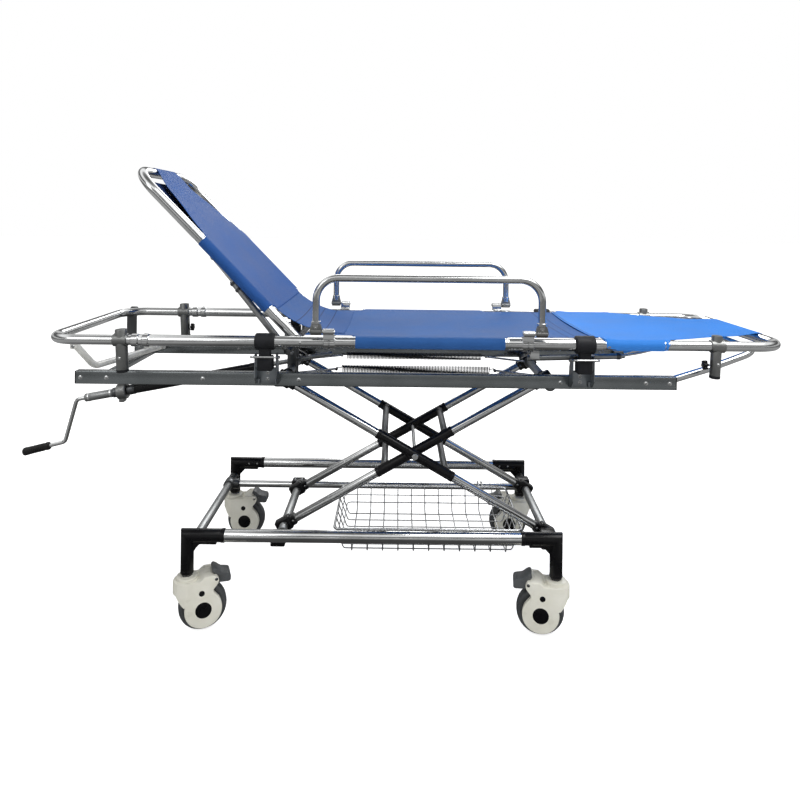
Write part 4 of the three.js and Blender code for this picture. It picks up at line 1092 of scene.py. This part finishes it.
def cloth_object(name, rows, mat="cloth"):
    """A thickened sheet from rows of points in millimetres. Returns it and its area in square metres."""
    n = len(rows[0])
    faces = [[a, a + 1, a + n + 1, a + n] for r in range(len(rows) - 1) for a in range(r * n, r * n + n - 1)]
    mesh = Piece().add([q for row in rows for q in row], faces, mat).mesh(name, sharp=None)
    obj = add_object(name, mesh)
    solid = obj.modifiers.new("thickness", "SOLIDIFY")
    solid.thickness = CLOTH_THICK * MM
    solid.offset = 0.0
    return obj, sum(f.area for f in mesh.polygons)


def smoothstep(a, b, x):
    t = min(max((x - a) / (b - a), 0.0), 1.0)
    return t * t * (3 - 2 * t)


def across_tubes(half_y, tube_r, reach, sag, steps=56):
    """Section of a panel laid over two tubes, as (y, height above the tubes' axis) pairs.

    reach is the cloth's own length from the middle line to its edge, past the top of the tube and round it.
    """
    wrap = tube_r + 0.9
    points = []
    for i in range(steps + 1):
        t = -1 + 2 * i / steps
        s = abs(t) * reach
        sign = -1 if t < 0 else 1
        if s <= half_y:
            points.append((sign * s, wrap - sag * (1 - (s / half_y) ** 2)))
        else:
            a = (s - half_y) / wrap
            points.append((sign * (half_y + wrap * sin(a)), wrap * cos(a)))
    return points


def crease(x, y, edge):
    """Slow creases of a stretched sheet, in millimetres, that fade out towards its edge tubes."""
    ripple = 0.9 * sin(x / 61 + y / 170) + 0.6 * sin(x / 23 - y / 90) * sin(y / 75)
    return ripple * smoothstep(0, 40, edge - abs(y))


def over_end(s, end, wrap):
    """Place along the panel and drop below its plane for cloth that turns down over an end tube."""
    a = max(s - end, 0.0) / wrap
    return min(s, end) + wrap * sin(a), wrap * (1 - cos(a))


def declare(obj, width, length, body, node):
    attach(obj, body)
    if node:
        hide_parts(node)
    width, length = width * MM, length * MM


def seat_height(y):
    """Height of the seat's surface above the floor."""
    return LITTER_Z + SEAT_WRAP - SEAT_SAG * (1 - (y / LITTER_Y) ** 2)


def back_height(y):
    """Height of the backrest cloth above the plane of its tubes."""
    return BACK_WRAP - BACK_SAG * (1 - (y / BACK_Y) ** 2)


def build_seat():
    full, narrow = LITTER_Y + SEAT_WRAP * radians(205), 243

    def reach(x):
        return narrow + (full - narrow) * smoothstep(-78, -64, x) * (1 - smoothstep(330, 343, x))

    rows = []
    for i in range(161):
        x = SEAT_SPAN[0] + (SEAT_SPAN[1] - SEAT_SPAN[0]) * i / 160
        section = across_tubes(LITTER_Y, 15, reach(x), SEAT_SAG)
        rows.append([v(x, y, LITTER_Z + z + crease(x, y, LITTER_Y - 3)) for y, z in section])
    obj, area = cloth_object("fabric_seat_v", rows, "seat_cloth")
    declare(obj, 2 * full, SEAT_SPAN[1] - SEAT_SPAN[0], "litter", "fabric_seat")


def build_foot_cloth():
    full, narrow = LITTER_Y + FOOT_WRAP * radians(215), 243
    taper_x, taper_y, end_y = 766, 262, 130

    def reach(x):
        if x <= 600:
            return narrow + (full - narrow) * smoothstep(590, 600, x)
        taper = taper_y + (end_y - taper_y) * ((max(x, taper_x) - taper_x) / (FOOT_LOOP_X - taper_x)) ** 0.9
        return taper + (full - taper) * (1 - smoothstep(752, 776, x))

    rows = []
    length = FOOT_LOOP_X - FOOT_START + FOOT_WRAP * radians(200)
    for i in range(125):
        s = FOOT_START + length * i / 124
        x, drop = over_end(s, FOOT_LOOP_X, FOOT_WRAP)
        sag = FOOT_SAG * (1 - smoothstep(980, 1080, x))
        section = across_tubes(LITTER_Y, 13.6, reach(min(s, FOOT_LOOP_X)), sag)
        base = LITTER_Z - drop + 3.2 * (1 - smoothstep(590, 640, s))
        fade = 1 - smoothstep(1020, 1075, x)
        rows.append([v(x, y, base + z + fade * crease(x, y, LITTER_Y - 3)) for y, z in section])
    # The foot panel's lighter colour carries a painted highlight of the light on the foot end.
    obj, area = cloth_object("fabric_foot_v", rows, "foot_cloth")
    declare(obj, 2 * full, length, "litter", "fabric_foot")


def build_back_cloth():
    full = BACK_Y + BACK_WRAP * radians(210)
    taper_u, taper_y, end_y = 374, 222, 84

    def reach(u):
        taper = taper_y + (end_y - taper_y) * max(u - taper_u, 0) / (BACK_LENGTH - taper_u)
        loose = HIP_HALF if u < 108 else taper
        return loose + (full - loose) * smoothstep(108, 116, u) * (1 - smoothstep(366, 382, u))

    rows = []
    length = BACK_LENGTH - BACK_START + BACK_WRAP * radians(200)
    for i in range(131):
        s = BACK_START + length * i / 130
        u, drop = over_end(s, BACK_LENGTH, BACK_WRAP)
        sag = BACK_SAG * (1 - smoothstep(560, 634, u))
        section = across_tubes(BACK_Y, BACK_R, reach(min(s, BACK_LENGTH)), sag)
        fade = 1 - smoothstep(594, 634, u)
        rows.append([on_back(u, y, n - drop + fade * crease(u, y, BACK_Y - 3)) for y, n in section])
    obj, area = cloth_object("fabric_back_v", rows)
    declare(obj, 2 * full, length, "backrest", "fabric_back")


def build_lining():
    """Dark lining that is stretched under the head end of the backrest cloth."""
    rows = []
    for i in range(25):
        u = 400 + 200 * i / 24
        half = 205 - 60 * smoothstep(500, 600, u)
        rows.append([on_back(u, half * t, -3.0 - 3 * (1 - t * t)) for t in (-1 + k / 12 for k in range(25))])
    obj, area = cloth_object("fabric_lining_v", rows, "hem_cloth")
    declare(obj, 410, 201, "backrest", None)


def hip_point(t, y):
    """Point of the hip panel: from the seat, round the bend and under the backrest's cloth."""
    height = seat_height(y) + 1.3 + crease(HIP_START, y, LITTER_Y - 3)
    lift = back_height(y) - 1.0
    start = v(HIP_START, y, height)
    bend = on_back((height - LITTER_Z - lift * cos(BACK_ANGLE)) / sin(BACK_ANGLE), y, lift)
    end = on_back(HIP_END, y, lift + crease(HIP_END, y, BACK_Y - 3))
    return start.lerp(bend, t).lerp(bend.lerp(end, t), t)


def build_hip():
    """Panel that bridges the seat and the backrest."""
    shares = [i / 44 for i in range(45)]
    rows = [[hip_point(t, HIP_HALF * (-1 + k / 20)) for k in range(41)] for t in shares]
    obj, area = cloth_object("fabric_hip_v", rows, "hip_cloth")
    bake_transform(obj)


# ---------------------------------------------------------------- floor

FLOOR_HALF = 30
FLOOR_GLOW = 0.80
# Painted reflection of the floor by distance: darkest close to the trolley as painted shade, lighter bands further
# out.
PAINTED_FLOOR_REFLECTION = [(0.0, 0.05), (0.09, 0.08), (0.17, 0.34), (0.30, 0.42), (0.60, 0.16)]


def build_floor():
    """Pale floor that also glows evenly; in reflections it shows a painted reflection instead, dark near the
    trolley as painted shade.
    """
    corners = [(-1, -1), (1, -1), (1, 1), (-1, 1)]
    mesh = bpy.data.meshes.new("floor")
    mesh.from_pydata([(FLOOR_HALF * x, FLOOR_HALF * y, 0) for x, y in corners], [], [[0, 1, 2, 3]])
    surface = Surface("pale_floor", (0.93, 0.93, 0.93), 0.8, Specular_IOR_Level=0.1)
    surface.paint(surface.cloudy(surface.noise(3.0, 2.0), 0.925, 0.935))
    glow, lit = surface.add("Emission", Strength=FLOOR_GLOW), surface.add("AddShader")
    for socket, part in zip(lit.inputs, (surface.main, glow)):
        surface.link(part.outputs[0], socket)
    # Emission that glossy rays see in place of the lit floor: a painted reflection, with painted shade near the
    # trolley.
    away, painted_reflection = surface.add("VectorMath"), surface.add("Emission")
    away.operation = "LENGTH"
    surface.link(surface.place(), away.inputs[0])
    share = surface.math("MULTIPLY", away.outputs["Value"], 0.1)
    surface.link(surface.ramp(share, PAINTED_FLOOR_REFLECTION), painted_reflection.inputs["Color"])
    mirrored = surface.choose("Is Glossy Ray", surface.main, painted_reflection)
    final = surface.choose("Is Camera Ray", mirrored, lit)
    surface.link(final.outputs[0], surface.out.inputs["Surface"])
    mesh.materials.append(surface.material)
    add_object("floor", mesh)


build_floor()
build_chassis()
build_basket()
build_castors()
build_lift()
build_deck()
build_crank()
build_litter()
build_backrest()
build_pair("guard_rail", guard_rail(), "chrome")
build_seat()
build_foot_cloth()
build_back_cloth()
build_lining()
build_hip()

bpy.context.view_layer.update()
